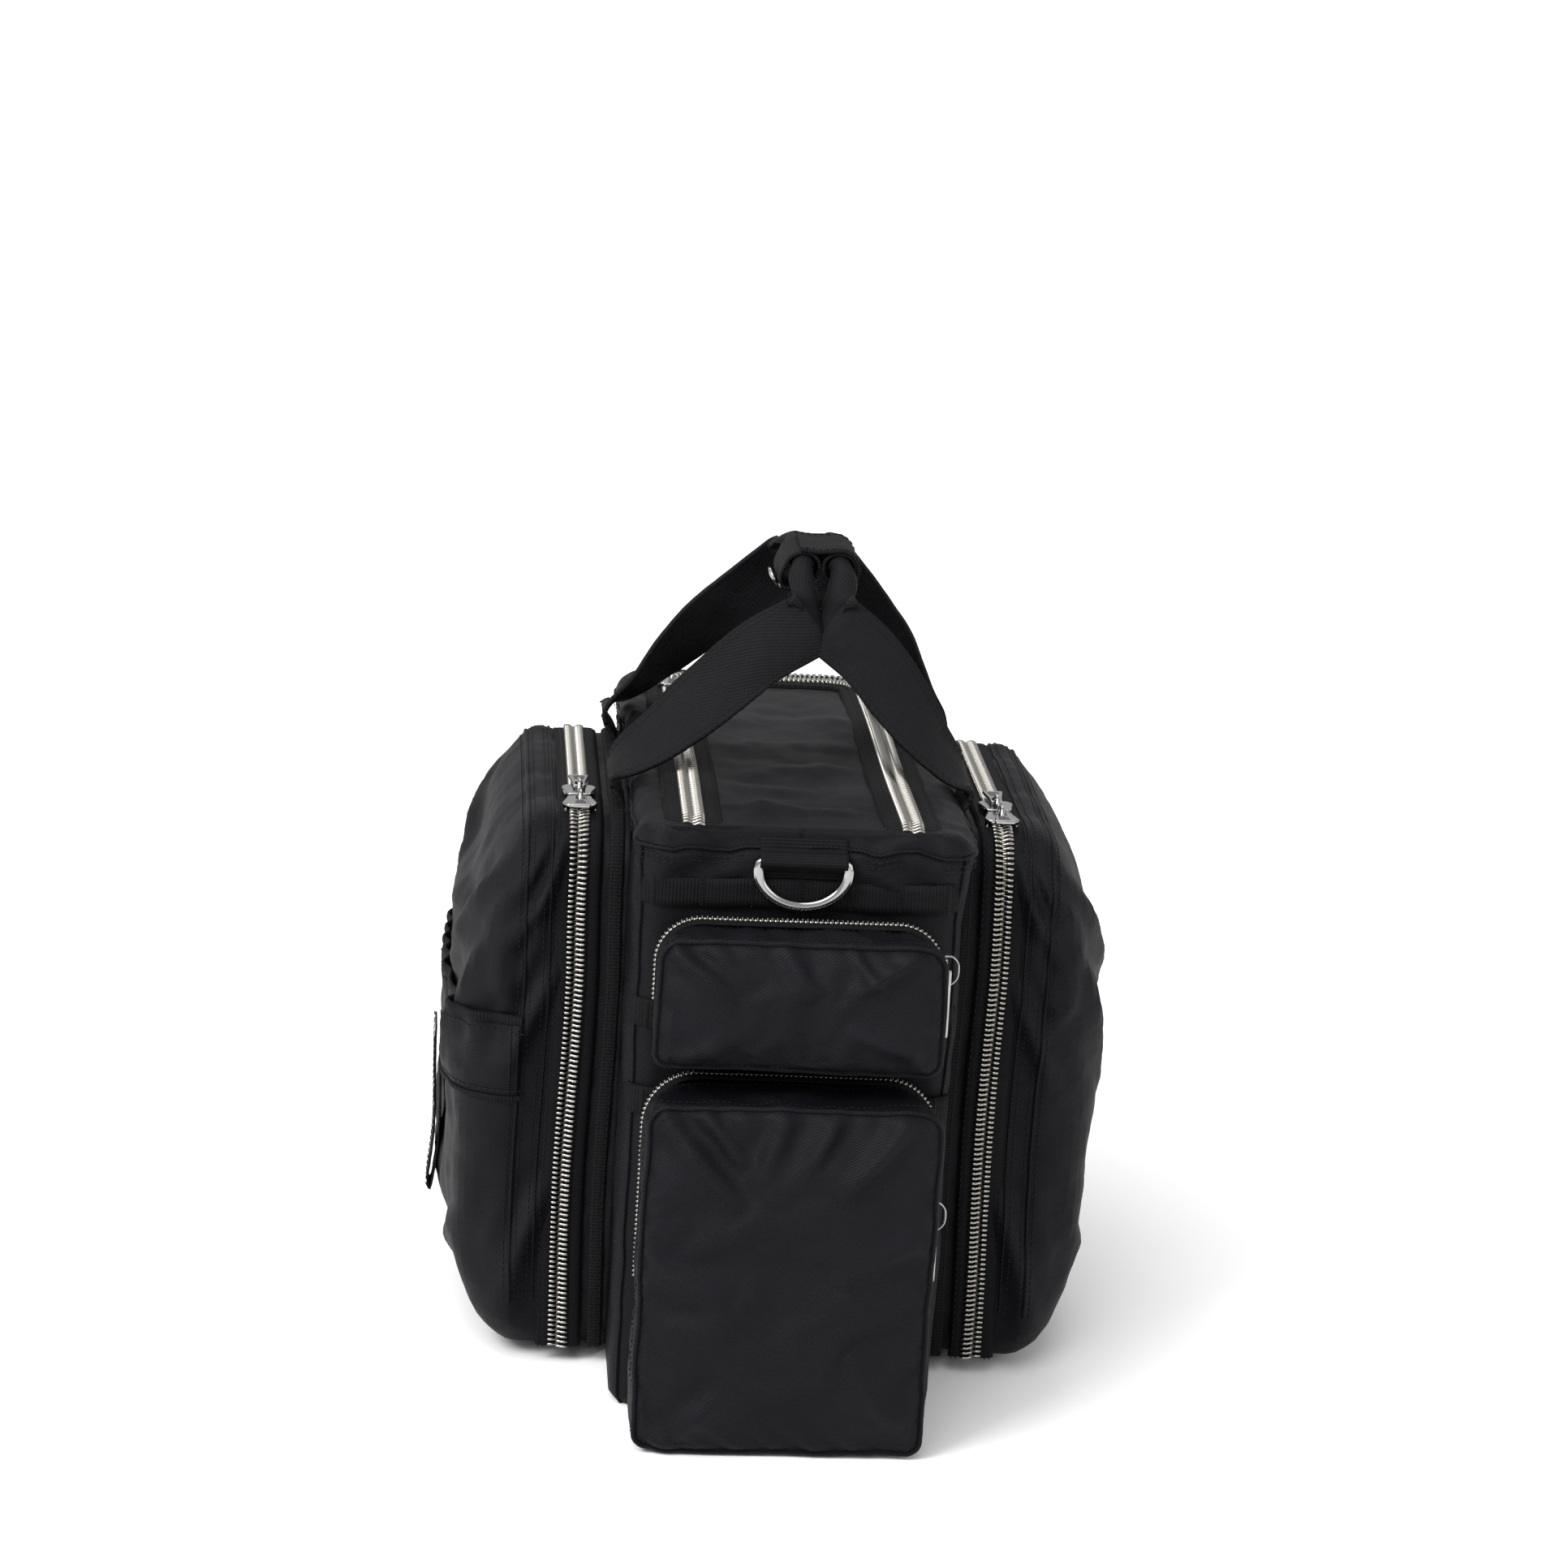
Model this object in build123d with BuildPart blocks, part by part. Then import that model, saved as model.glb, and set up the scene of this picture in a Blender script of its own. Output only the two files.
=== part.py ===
"""Compact flight bag: a soft box body with a zipped top flap, a zipped pocket on each side, two zipped
pouches on its front end, a D-ring at each end and two webbing handles held by a wrap.

Millimetres. +Z is up, X runs across the bag and -Y is the end with the two pouches.
The origin is the centre of the body's base, on the surface that the bag stands on.
"""

import os

from build123d import *

# --- main body ------------------------------------------------------------------------------------
BODY_W, BODY_L, BODY_H = 140.0, 276.0, 262.0
WALL = 2.5  # shell cloth, foam and lining together
BODY_CORNER = 12.0
END_RETURN = 3.0  # how far the end panels run on past the rounded corners
FRONT_Y, REAR_Y = -BODY_L / 2, BODY_L / 2
SEAM_GAP = 0.4  # clearance between cloth edges that part when a zip opens
BOARD_MARGIN = 8.0

# --- large zips -----------------------------------------------------------------------------------
TEETH_REACH = 5.0  # from the middle of the chain to the outer edge of the teeth
TEETH_T = 2.0
HALF_GAP = 0.4  # half of the slit between the two rows of teeth

# --- top flap -------------------------------------------------------------------------------------
FLAP_HALF_W = 46.0  # chain line
FLAP_FAR_Y = 124.0
FLAP_NEAR_Y = FRONT_Y + 5.0
FLAP_CORNER = 18.0

# --- side pockets ---------------------------------------------------------------------------------
POCKET_Y0, POCKET_Y1 = -88.0, 94.0
POCKET_Z0, POCKET_Z1 = 3.0, 247.0
POCKET_SPLIT_Z = 26.0  # the cover is hinged to the base at this height
POCKET_CORNER = 24.0
POCKET_CHAIN_X = 92.0
POCKET_OUT_X = 138.0
POCKET_EDGE_R = 20.0
POCKET_WALL = 2.0
ZIP_FOOT_Z = 7.0
BINDING_X = (72.5, 79.0)
BINDING_T = 1.5

# --- band and hanging loop on the left pocket -----------------------------------------------------
BAND_Z, BAND_H, BAND_T = 124.0, 36.0, 1.5
BAND_GAP = 0.3
BAND_END_X = 112.0
LOOP_LENGTH, LOOP_W, LOOP_T = 84.0, 16.0, 3.0
LOOP_TOP, LOOP_STAND_OFF = BAND_Z + 8.0, 0.9

# --- end pouches ----------------------------------------------------------------------------------
POUCH_WALL = 2.0
POUCH_BACK_T = 1.8
POUCH_EDGE_R = 5.0
SMALL_TEETH_REACH, SMALL_TEETH_T = 3.0, 1.2
ROW_T, ROW_H = 1.5, 12.0
ROW_HEIGHTS = (141.0, 180.0, 235.0)
POUCH_BACK_Y = FRONT_Y - ROW_T - 0.2
POUCH_CHAIN_Y = POUCH_BACK_Y - POUCH_BACK_T - 7.0
POUCHES = {
    "lower": dict(half_w=61.0, z0=0.0, split=66.0, z1=157.0, corner=22.0, depth=48.0),
    "upper": dict(half_w=59.0, z0=168.0, split=190.0, z1=225.0, corner=18.0, depth=37.0),
}

# --- D-rings --------------------------------------------------------------------------------------
RING_BAR_Z = 250.0
RING_STAND_OFF = 5.2  # from the end cloth to the middle of the ring's bar
RING_W, RING_DROP, RING_BAND, RING_T = 42.0, 19.0, 4.2, 3.4
TAB_W, TAB_IN_R, TAB_OUT_R, TAB_BACK_T, TAB_H = 30.0, 3.4, 4.8, 1.2, 16.0

# --- handles --------------------------------------------------------------------------------------
STRAP_W, STRAP_T = 30.0, 2.0
HEAD_W, HEAD_T = 15.0, 6.0  # the strap folded where it runs into the grip
STRAP_X, STRAP_Z = 78.0, 258.4  # foot of each leg, just above the line it swings about
ANCHOR_X = (BODY_W / 2, 80.5)
ANCHOR_Z = (248.8, 254.4)
LEG_Y = {"near": -48.0, "far": 62.0}
GRIP_R = 5.8
GRIP_X = {"left": 2.0, "right": 18.0}
GRIP_ENDS = {"near": (-46.0, 337.0), "far": (44.0, 339.0)}  # y and z
GRIP_CREST = ((-30.0, 350.0), (20.0, 350.0))
WRAP_Y = (-26.0, 8.0)
WRAP_T, WRAP_PLAY = 1.4, 0.4
TONGUE_LIFT = 0.4

# --- sliders and pulls ----------------------------------------------------------------------------
SLIDER_LIFT = 0.3  # from the teeth to the slider's plate
LARGE_SLIDER = dict(length=15.0, width=15.0, plate=2.0, bridge=9.0, rise=4.6)
SMALL_SLIDER = dict(length=11.0, width=9.0, plate=1.6, bridge=8.0, rise=4.2)
BRIDGE_T, BRIDGE_W = 1.4, 3.0
PULL_T, PULL_PIN_R = 1.6, 0.8
EYE_RIM, EYE_CLEAR = 1.4, 1.9  # rim round the pull's eye, and the eye's reach past the bridge
LOWER_SLIDER_Z = 97.0
SLIDER_PAIR_Y = {"front": POCKET_Y0 + POCKET_CORNER, "rear": POCKET_Y0 + POCKET_CORNER + 18.0}

os.makedirs("parts", exist_ok=True)


def save(part, name):
    """Labels a finished piece and writes it as its own STEP file."""
    part.label = name
    export_step(part, f"parts/{name}.step")


def arch(plane, left, right, bottom, top, corner, wall, depth):
    """An upside-down U of even thickness, drawn on a plane and extruded along its normal."""
    with BuildPart() as piece:
        with BuildSketch(plane):
            with BuildLine():
                outer = FilletPolyline(
                    (left, bottom), (left, top), (right, top), (right, bottom), radius=corner
                )
                inner = FilletPolyline(
                    (left + wall, bottom),
                    (left + wall, top - wall),
                    (right - wall, top - wall),
                    (right - wall, bottom),
                    radius=corner - wall,
                )
                Line(outer @ 0, inner @ 0)
                Line(outer @ 1, inner @ 1)
            make_face()
        extrude(amount=depth)
    return piece.part


def slab(x, y, z):
    """A plain panel between two corners, given as three pairs of limits."""
    with BuildPart() as piece:
        with Locations(((x[0] + x[1]) / 2, (y[0] + y[1]) / 2, (z[0] + z[1]) / 2)):
            Box(abs(x[1] - x[0]), abs(y[1] - y[0]), abs(z[1] - z[0]))
    return piece.part


# --- body -----------------------------------------------------------------------------------------
def body_panels():
    """The sewn panels of the main compartment and the stiffener that lies on its floor."""
    half_w, half_l = BODY_W / 2, BODY_L / 2
    leg = half_l - BODY_CORNER - END_RETURN
    height = BODY_H - 2 * WALL
    with BuildPart() as wrap:
        with BuildSketch():
            RectangleRounded(BODY_W, BODY_L, BODY_CORNER)
        extrude(amount=WALL)
        with Locations(*[(side * (half_w - WALL / 2), 0, BODY_H / 2) for side in (-1, 1)]):
            Box(WALL, 2 * leg, height)
    save(wrap.part, "body_wrap")

    ends = {
        "rear_panel": Plane(origin=(0, 0, WALL), x_dir=(1, 0, 0), z_dir=(0, 0, 1)),
        "front_panel": Plane(origin=(0, 0, WALL), x_dir=(-1, 0, 0), z_dir=(0, 0, 1)),
    }
    for name, plane in ends.items():
        save(arch(plane, -half_w, half_w, leg, half_l, BODY_CORNER, WALL, height), name)

    margin = BOARD_MARGIN
    board = slab((margin - half_w, half_w - margin), (margin - half_l, half_l - margin), (WALL, 2 * WALL))
    save(board, "base_board")

    with BuildPart() as rows:
        with Locations(*[(0, FRONT_Y - ROW_T / 2, z) for z in ROW_HEIGHTS]):
            Box(BODY_W - 2 * BODY_CORNER + 12, ROW_T, ROW_H)
    save(rows.part, "webbing_rows")


def flap_sheet(reach, grow_near):
    """The face of the top flap out to a distance from its chain line."""
    far = FLAP_FAR_Y + reach
    near = FLAP_NEAR_Y - grow_near
    half_w = FLAP_HALF_W + reach
    with BuildSketch(Plane.XY.offset(BODY_H - WALL)) as face:
        with Locations((0, (near + far) / 2)):
            Rectangle(2 * half_w, far - near)
        fillet(face.vertices().group_by(Axis.Y)[-1], FLAP_CORNER + reach)
    return face.sketch


def top_and_flap():
    """The fixed frame of the top, the flap that lifts, and the two rows of teeth between them."""
    with BuildPart() as frame:
        with BuildSketch(Plane.XY.offset(BODY_H - WALL)):
            RectangleRounded(BODY_W, BODY_L, BODY_CORNER)
            add(flap_sheet(HALF_GAP, SEAM_GAP), mode=Mode.SUBTRACT)
        extrude(amount=WALL)
    save(frame.part, "top_frame")

    with BuildPart() as flap:
        extrude(flap_sheet(-HALF_GAP, 0.0), amount=WALL)
    save(flap.part, "flap_panel")

    plane = Plane.XY.offset(BODY_H)
    for row, inside, outside in (("flap", -TEETH_REACH, -HALF_GAP), ("frame", HALF_GAP, TEETH_REACH)):
        reach = FLAP_HALF_W + outside
        far = FLAP_FAR_Y + outside
        corner = FLAP_CORNER + outside
        teeth = arch(plane, -reach, reach, FLAP_NEAR_Y, far, corner, outside - inside, TEETH_T)
        save(teeth, f"top_zip_{row}_teeth")


# --- boxes sewn to the body -----------------------------------------------------------------------
def pan(plane, across, up, corner, foot, depth, edge_r, wall):
    """A shallow cloth box with its open side on a plane and its rounded front along the normal."""
    shells = []
    for inset in (0.0, wall):
        with BuildPart() as block:
            with BuildSketch(plane) as outline:
                with Locations((sum(across) / 2, sum(up) / 2)):
                    Rectangle(across[1] - across[0] - 2 * inset, up[1] - up[0] - 2 * inset)
                fillet(outline.vertices().group_by(Axis.Y)[-1], corner - inset)
                fillet(outline.vertices().group_by(Axis.Y)[0], foot - inset)
            extrude(amount=depth - inset)
            normal = Axis(plane.origin, plane.z_dir)
            fillet(block.faces().sort_by(normal)[-1].edges(), edge_r - inset)
        shells.append(block.part)
    with BuildPart() as box:
        add(shells[0])
        add(shells[1], mode=Mode.SUBTRACT)
    return box.part


def between(box, plane, keep):
    """The piece of a box on one side of a plane."""
    with BuildPart() as piece:
        add(box)
        split(bisect_by=plane, keep=keep)
    return piece.part


def pocket_ring(side, x_from, x_to, bottom, proud, wall):
    """A band round the pocket's front, top and rear, from one distance across the bag to another."""
    start = x_from if side > 0 else -x_to
    plane = Plane(origin=(start, 0, 0), x_dir=(0, 1, 0), z_dir=(1, 0, 0))
    left, right = POCKET_Y0 - proud, POCKET_Y1 + proud
    return arch(plane, left, right, bottom, POCKET_Z1 + proud, POCKET_CORNER + proud, wall, x_to - x_from)


def pocket(side, name):
    """One side pocket: base, gusset sewn to the body, binding, two rows of teeth and the cover."""
    wall_x = BODY_W / 2
    plane = Plane(origin=(side * wall_x, 0, 0), x_dir=(0, side, 0), z_dir=(side, 0, 0))
    along = sorted((side * POCKET_Y0, side * POCKET_Y1))
    up = (POCKET_Z0, POCKET_Z1)
    depth = POCKET_OUT_X - wall_x
    box = pan(plane, along, up, POCKET_CORNER, POCKET_EDGE_R, depth, POCKET_EDGE_R - 0.5, POCKET_WALL)
    save(between(box, Plane.XY.offset(POCKET_SPLIT_Z), Keep.BOTTOM), f"{name}_pocket_base")
    upper = between(box, Plane.XY.offset(POCKET_SPLIT_Z + SEAM_GAP), Keep.TOP)
    opening = Plane(origin=(side * (POCKET_CHAIN_X + HALF_GAP), 0, 0), z_dir=(side, 0, 0))
    save(between(upper, opening, Keep.TOP), f"{name}_pocket_cover")

    inner_x = POCKET_CHAIN_X - HALF_GAP
    gusset = pocket_ring(side, wall_x, inner_x, POCKET_SPLIT_Z, 0.0, POCKET_WALL)
    save(gusset, f"{name}_pocket_gusset")
    save(pocket_ring(side, *BINDING_X, ZIP_FOOT_Z, BINDING_T, BINDING_T), f"{name}_pocket_binding")
    inner = pocket_ring(side, POCKET_CHAIN_X - TEETH_REACH, inner_x, ZIP_FOOT_Z, TEETH_T, TEETH_T)
    save(inner, f"{name}_zip_inner_teeth")
    outer_x = (POCKET_CHAIN_X + HALF_GAP, POCKET_CHAIN_X + TEETH_REACH)
    outer = pocket_ring(side, *outer_x, POCKET_SPLIT_Z + SEAM_GAP, TEETH_T, TEETH_T)
    save(outer, f"{name}_zip_outer_teeth")


def band_and_loop():
    """The cloth band round the left pocket's outside, and the webbing loop that hangs from it."""
    proud = BAND_GAP + BAND_T
    around = Plane(origin=(0, 0, BAND_Z), x_dir=(0, 1, 0), z_dir=(0, 0, 1))
    y_from, y_to = POCKET_Y0 - proud, POCKET_Y1 + proud
    corner = POCKET_EDGE_R + proud
    band = arch(around, y_from, y_to, BAND_END_X, POCKET_OUT_X + proud, corner, BAND_T, BAND_H)
    with BuildPart() as flipped:
        add(band)
        if band.bounding_box().center().X > 0:
            mirror(about=Plane.YZ, mode=Mode.REPLACE)
    save(flipped.part, "left_pocket_band")

    loop_x = -(POCKET_OUT_X + proud + LOOP_STAND_OFF)
    with BuildPart() as loop:
        with BuildSketch(Plane.YZ.offset(loop_x - LOOP_T)):
            with Locations((0, LOOP_TOP - LOOP_LENGTH / 2)):
                RectangleRounded(LOOP_W, LOOP_LENGTH, 2.0)
        extrude(amount=LOOP_T)
    save(loop.part, "hanging_loop")


def pouch(name, half_w, z0, split, z1, corner, depth):
    """One end pouch: back, base, cover that tips forward, and the two rows of teeth."""
    front_y = FRONT_Y - depth
    zip_y = POUCH_BACK_Y - POUCH_BACK_T
    plane = Plane(origin=(0, zip_y, 0), x_dir=(1, 0, 0), z_dir=(0, -1, 0))
    foot = POUCH_EDGE_R + 1.0
    box = pan(plane, (-half_w, half_w), (z0, z1), corner, foot, zip_y - front_y, POUCH_EDGE_R, POUCH_WALL)

    with BuildPart() as back:
        with BuildSketch(Plane(origin=(0, POUCH_BACK_Y, 0), x_dir=(1, 0, 0), z_dir=(0, -1, 0))) as face:
            with Locations((0, (z0 + z1) / 2)):
                Rectangle(2 * half_w, z1 - z0)
            fillet(face.vertices().group_by(Axis.Y)[-1], corner)
        extrude(amount=POUCH_BACK_T)
    save(back.part, f"{name}_pouch_back")

    chain = Plane(origin=(0, POUCH_CHAIN_Y, 0), z_dir=(0, -1, 0))
    above = between(box, Plane.XY.offset(split + SEAM_GAP), Keep.TOP)
    save(between(box, Plane.XY.offset(split), Keep.BOTTOM), f"{name}_pouch_base")
    save(between(above, chain.offset(HALF_GAP), Keep.TOP), f"{name}_pouch_cover")
    gusset = between(between(box, Plane.XY.offset(split), Keep.TOP), chain.offset(-HALF_GAP), Keep.BOTTOM)
    save(gusset, f"{name}_pouch_gusset")

    for row, start, bottom in (("back", -SMALL_TEETH_REACH, split), ("front", HALF_GAP, split + SEAM_GAP)):
        proud = SMALL_TEETH_T
        width = SMALL_TEETH_REACH - HALF_GAP
        teeth = arch(
            chain_plane(start), -half_w - proud, half_w + proud, bottom, z1 + proud, corner + proud, proud, width
        )
        save(teeth, f"{name}_zip_{row}_teeth")


def chain_plane(forward):
    """The upright plane a distance in front of the pouches' chain line."""
    return Plane(origin=(0, POUCH_CHAIN_Y - forward, 0), x_dir=(1, 0, 0), z_dir=(0, -1, 0))


# --- hardware -------------------------------------------------------------------------------------
def d_ring(name, outward):
    """A D-ring with its straight bar uppermost in a folded cloth tab. outward is the end's Y sign."""
    end_y = outward * BODY_L / 2
    bar_y = end_y + outward * RING_STAND_OFF
    half = RING_W / 2
    plane = Plane(origin=(0, bar_y - RING_T / 2, 0), x_dir=(-1, 0, 0), z_dir=(0, 1, 0))
    top = RING_BAR_Z + RING_BAND / 2
    corner = 0.72 * RING_DROP
    with BuildPart() as ring:
        with BuildSketch(plane):
            for inset, mode in ((0.0, Mode.ADD), (RING_BAND, Mode.SUBTRACT)):
                with BuildLine():
                    FilletPolyline(
                        (inset - half, top - inset),
                        (inset - half, top - RING_DROP - RING_BAND + inset),
                        (half - inset, top - RING_DROP - RING_BAND + inset),
                        (half - inset, top - inset),
                        radius=corner - 0.6 * inset,
                    )
                    Line((half - inset, top - inset), (inset - half, top - inset))
                make_face(mode=mode)
        extrude(amount=RING_T)
        outer_edges = ring.edges().filter_by(GeomType.CIRCLE)
        chamfer(outer_edges, 0.5)
    save(ring.part, f"{name}_d_ring")

    with BuildPart() as tab:
        with BuildSketch(Plane.YZ.offset(-TAB_W / 2)):
            with Locations((bar_y, RING_BAR_Z)):
                Circle(TAB_OUT_R)
            with Locations((end_y + outward * TAB_BACK_T / 2, RING_BAR_Z)):
                Rectangle(TAB_BACK_T, TAB_H)
            with Locations((bar_y, RING_BAR_Z)):
                Circle(TAB_IN_R, mode=Mode.SUBTRACT)
        extrude(amount=TAB_W)
    save(tab.part, f"{name}_ring_tab")


def slider_and_pull(plane, size, pull_reach, pull_w):
    """A zip slider on a plane (X along the chain, Z away from it) and its pull, flat towards -X."""
    length, width, plate = size["length"], size["width"], size["plate"]
    bridge, rise = size["bridge"], size["rise"]
    with BuildPart() as body:
        with BuildSketch(plane.offset(SLIDER_LIFT)):
            with BuildLine():
                Polyline(
                    (-length / 2, -0.32 * width),
                    (0.1 * length, -width / 2),
                    (length / 2, -0.38 * width),
                    (length / 2, 0.38 * width),
                    (0.1 * length, width / 2),
                    (-length / 2, 0.32 * width),
                    close=True,
                )
            make_face()
        extrude(amount=plate)
        top = SLIDER_LIFT + plate
        side = Plane(origin=plane.from_local_coords((0, BRIDGE_W / 2, 0)), x_dir=plane.x_dir, z_dir=-plane.y_dir)
        with BuildSketch(side):
            with BuildLine():
                outer = FilletPolyline(
                    (-bridge / 2, top), (-bridge / 2, top + rise), (bridge / 2, top + rise), (bridge / 2, top),
                    radius=2.0,
                )
                inset = bridge / 2 - BRIDGE_T
                inner = FilletPolyline(
                    (-inset, top), (-inset, top + rise - BRIDGE_T), (inset, top + rise - BRIDGE_T), (inset, top),
                    radius=0.8,
                )
                Line(outer @ 0, inner @ 0)
                Line(outer @ 1, inner @ 1)
            make_face()
        extrude(amount=BRIDGE_W)

    eye = bridge / 2 + EYE_CLEAR
    pin_z = SLIDER_LIFT + plate + (rise - BRIDGE_T) / 2
    eye_half = BRIDGE_W / 2 + 0.5
    with BuildPart() as pull:
        with BuildSketch(plane.offset(pin_z - PULL_T / 2)):
            with BuildLine():
                tip, neck, heel = -pull_reach, -eye - EYE_RIM, PULL_PIN_R
                Polyline(
                    (heel, -eye_half - EYE_RIM),
                    (neck, -eye_half - EYE_RIM),
                    (tip, -pull_w / 2),
                    (tip, pull_w / 2),
                    (neck, eye_half + EYE_RIM),
                    (heel, eye_half + EYE_RIM),
                    close=True,
                )
            make_face()
            with Locations((-(PULL_PIN_R + eye) / 2, 0)):
                Rectangle(eye - PULL_PIN_R, 2 * eye_half, mode=Mode.SUBTRACT)
        extrude(amount=PULL_T)
    return body.part, pull.part


def sliders():
    """Every slider and its pull, each on its own stretch of chain."""
    top_plane = Plane(origin=(-FLAP_HALF_W, FLAP_FAR_Y - FLAP_CORNER - 4, BODY_H + TEETH_T), x_dir=(0, 1, 0))
    body, pull = slider_and_pull(top_plane, LARGE_SLIDER, 20.0, 8.0)
    save(body, "top_slider")
    save(pull, "top_pull")

    for side, name in ((-1, "left"), (1, "right")):
        for place, facing in (("front", -1), ("rear", 1)):
            spot = (side * POCKET_CHAIN_X, SLIDER_PAIR_Y[place], POCKET_Z1 + TEETH_T)
            plane = Plane(origin=spot, x_dir=(0, -facing, 0))
            reach = 16.0 if place == "front" else 18.0
            body, pull = slider_and_pull(plane, LARGE_SLIDER, reach, 9.0)
            save(body, f"{name}_{place}_slider")
            save(pull, f"{name}_{place}_pull")

    upper_height = POUCHES["upper"]["z1"] - POUCHES["upper"]["corner"]
    for name, height in (("upper", upper_height), ("lower", LOWER_SLIDER_Z)):
        spot = (POUCHES[name]["half_w"] + SMALL_TEETH_T, POUCH_CHAIN_Y, height)
        plane = Plane(origin=spot, x_dir=(0, 0, 1), z_dir=(1, 0, 0))
        body, pull = slider_and_pull(plane, SMALL_SLIDER, 30.0, 5.0)
        save(body, f"{name}_slider")
        save(pull, f"{name}_pull")


# --- handles --------------------------------------------------------------------------------------
def handle_leg(side, place, grip_x):
    """One strap leg: flat against the body's side at its foot and turned edge-up at the grip."""
    end_y, end_z = GRIP_ENDS[place]
    foot = Vector(side * STRAP_X, LEG_Y[place], STRAP_Z)
    head = Vector(grip_x, end_y, end_z)
    along = (head - foot).normalized()
    outward_turn = 90.0 if (place == "near") == (side < 0) else -90.0
    stations = (0.0, 0.33, 0.67, 1.0)
    with BuildPart() as leg:
        for share in stations:
            flat = Plane(origin=foot + (head - foot) * share, x_dir=(0, 1, 0), z_dir=along)
            turned = flat.rotated((0, 0, outward_turn * share))
            with BuildSketch(turned):
                width = STRAP_W + (HEAD_W - STRAP_W) * share
                Rectangle(width, STRAP_T + (HEAD_T - STRAP_T) * share)
        loft()
    return leg.part


def handle(side, name):
    """One handle: two strap legs that run into a rolled grip."""
    grip_x = GRIP_X[name]
    route = (GRIP_ENDS["near"], *GRIP_CREST, GRIP_ENDS["far"])
    legs = [handle_leg(side, place, grip_x) for place in LEG_Y]
    with BuildPart() as whole:
        with BuildLine() as path:
            FilletPolyline(*[(grip_x, y, z) for y, z in route], radius=12.0)
        start = path.line
        with BuildSketch(Plane(origin=start @ 0, z_dir=start % 0)):
            Circle(GRIP_R)
        sweep()
        add(legs)
    save(whole.part, f"{name}_handle")


def handle_wrap():
    """The webbing rings sewn round the two grips, the tongue that joins them and its snap."""
    grip_z = GRIP_CREST[0][1]
    inner = GRIP_R + WRAP_PLAY
    outer = inner + WRAP_T
    depth = WRAP_Y[1] - WRAP_Y[0]
    front = Plane(origin=(0, WRAP_Y[0], 0), x_dir=(1, 0, 0), z_dir=(0, -1, 0)).offset(-depth)
    for name, grip_x in GRIP_X.items():
        with BuildPart() as ring:
            with BuildSketch(front):
                with Locations((grip_x, grip_z)):
                    Circle(outer)
                    Circle(inner, mode=Mode.SUBTRACT)
            extrude(amount=depth)
        save(ring.part, f"{name}_wrap")

    under = grip_z + outer + TONGUE_LIFT
    x_from, x_to = GRIP_X["left"] - 4, GRIP_X["right"] + 5
    save(slab((x_from, x_to), WRAP_Y, (under, under + WRAP_T)), "wrap_tongue")

    snap_r = 5.0
    turn = 200.0
    with BuildPart() as snap:
        middle = Vector(GRIP_X["left"], (WRAP_Y[0] + WRAP_Y[1]) / 2, grip_z)
        out = Vector(1, 0, 0).rotate(Axis.Y, -turn)
        with BuildSketch(Plane(origin=middle + out * (outer + 0.05), z_dir=out)):
            Circle(snap_r)
        extrude(amount=1.8)
    save(snap.part, "snap_cap")

    with BuildPart() as anchors:
        middle_x = (ANCHOR_X[0] + ANCHOR_X[1]) / 2
        middle_z = (ANCHOR_Z[0] + ANCHOR_Z[1]) / 2
        spots = [(s * middle_x, y, middle_z) for s in (-1, 1) for y in LEG_Y.values()]
        with Locations(*spots):
            Box(ANCHOR_X[1] - ANCHOR_X[0], STRAP_W, ANCHOR_Z[1] - ANCHOR_Z[0])
    save(anchors.part, "strap_anchors")


body_panels()
top_and_flap()
pocket(-1, "left")
pocket(1, "right")
band_and_loop()
for pouch_name, pouch_sizes in POUCHES.items():
    pouch(pouch_name, **pouch_sizes)
d_ring("front", -1)
d_ring("rear", 1)
sliders()
handle(-1, "left")
handle(1, "right")
handle_wrap()
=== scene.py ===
import math

import bmesh
import bpy
import numpy as np
from mathutils import Matrix, Vector, noise
from mathutils.bvhtree import BVHTree


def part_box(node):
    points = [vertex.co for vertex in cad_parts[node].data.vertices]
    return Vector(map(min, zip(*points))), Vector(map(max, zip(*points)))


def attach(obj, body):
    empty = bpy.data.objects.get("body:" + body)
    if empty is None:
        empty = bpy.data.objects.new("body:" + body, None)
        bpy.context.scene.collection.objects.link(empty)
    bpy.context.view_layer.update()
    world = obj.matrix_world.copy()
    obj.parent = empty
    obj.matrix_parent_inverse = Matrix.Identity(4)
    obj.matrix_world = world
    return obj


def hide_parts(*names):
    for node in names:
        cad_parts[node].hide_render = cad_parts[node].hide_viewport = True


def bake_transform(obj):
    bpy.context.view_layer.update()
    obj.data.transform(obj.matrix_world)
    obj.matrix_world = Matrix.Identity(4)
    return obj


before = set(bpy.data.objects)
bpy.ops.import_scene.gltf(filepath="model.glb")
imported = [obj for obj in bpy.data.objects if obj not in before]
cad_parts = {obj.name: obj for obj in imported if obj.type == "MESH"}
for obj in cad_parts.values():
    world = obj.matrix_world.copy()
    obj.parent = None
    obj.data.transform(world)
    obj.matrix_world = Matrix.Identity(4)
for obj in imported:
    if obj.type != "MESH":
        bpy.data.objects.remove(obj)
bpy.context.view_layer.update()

MM = 0.001


def cad(node):
    """Lowest and highest corner of a CAD node, in millimetres."""
    low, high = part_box(node)
    return np.array(low) / MM, np.array(high) / MM


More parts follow.
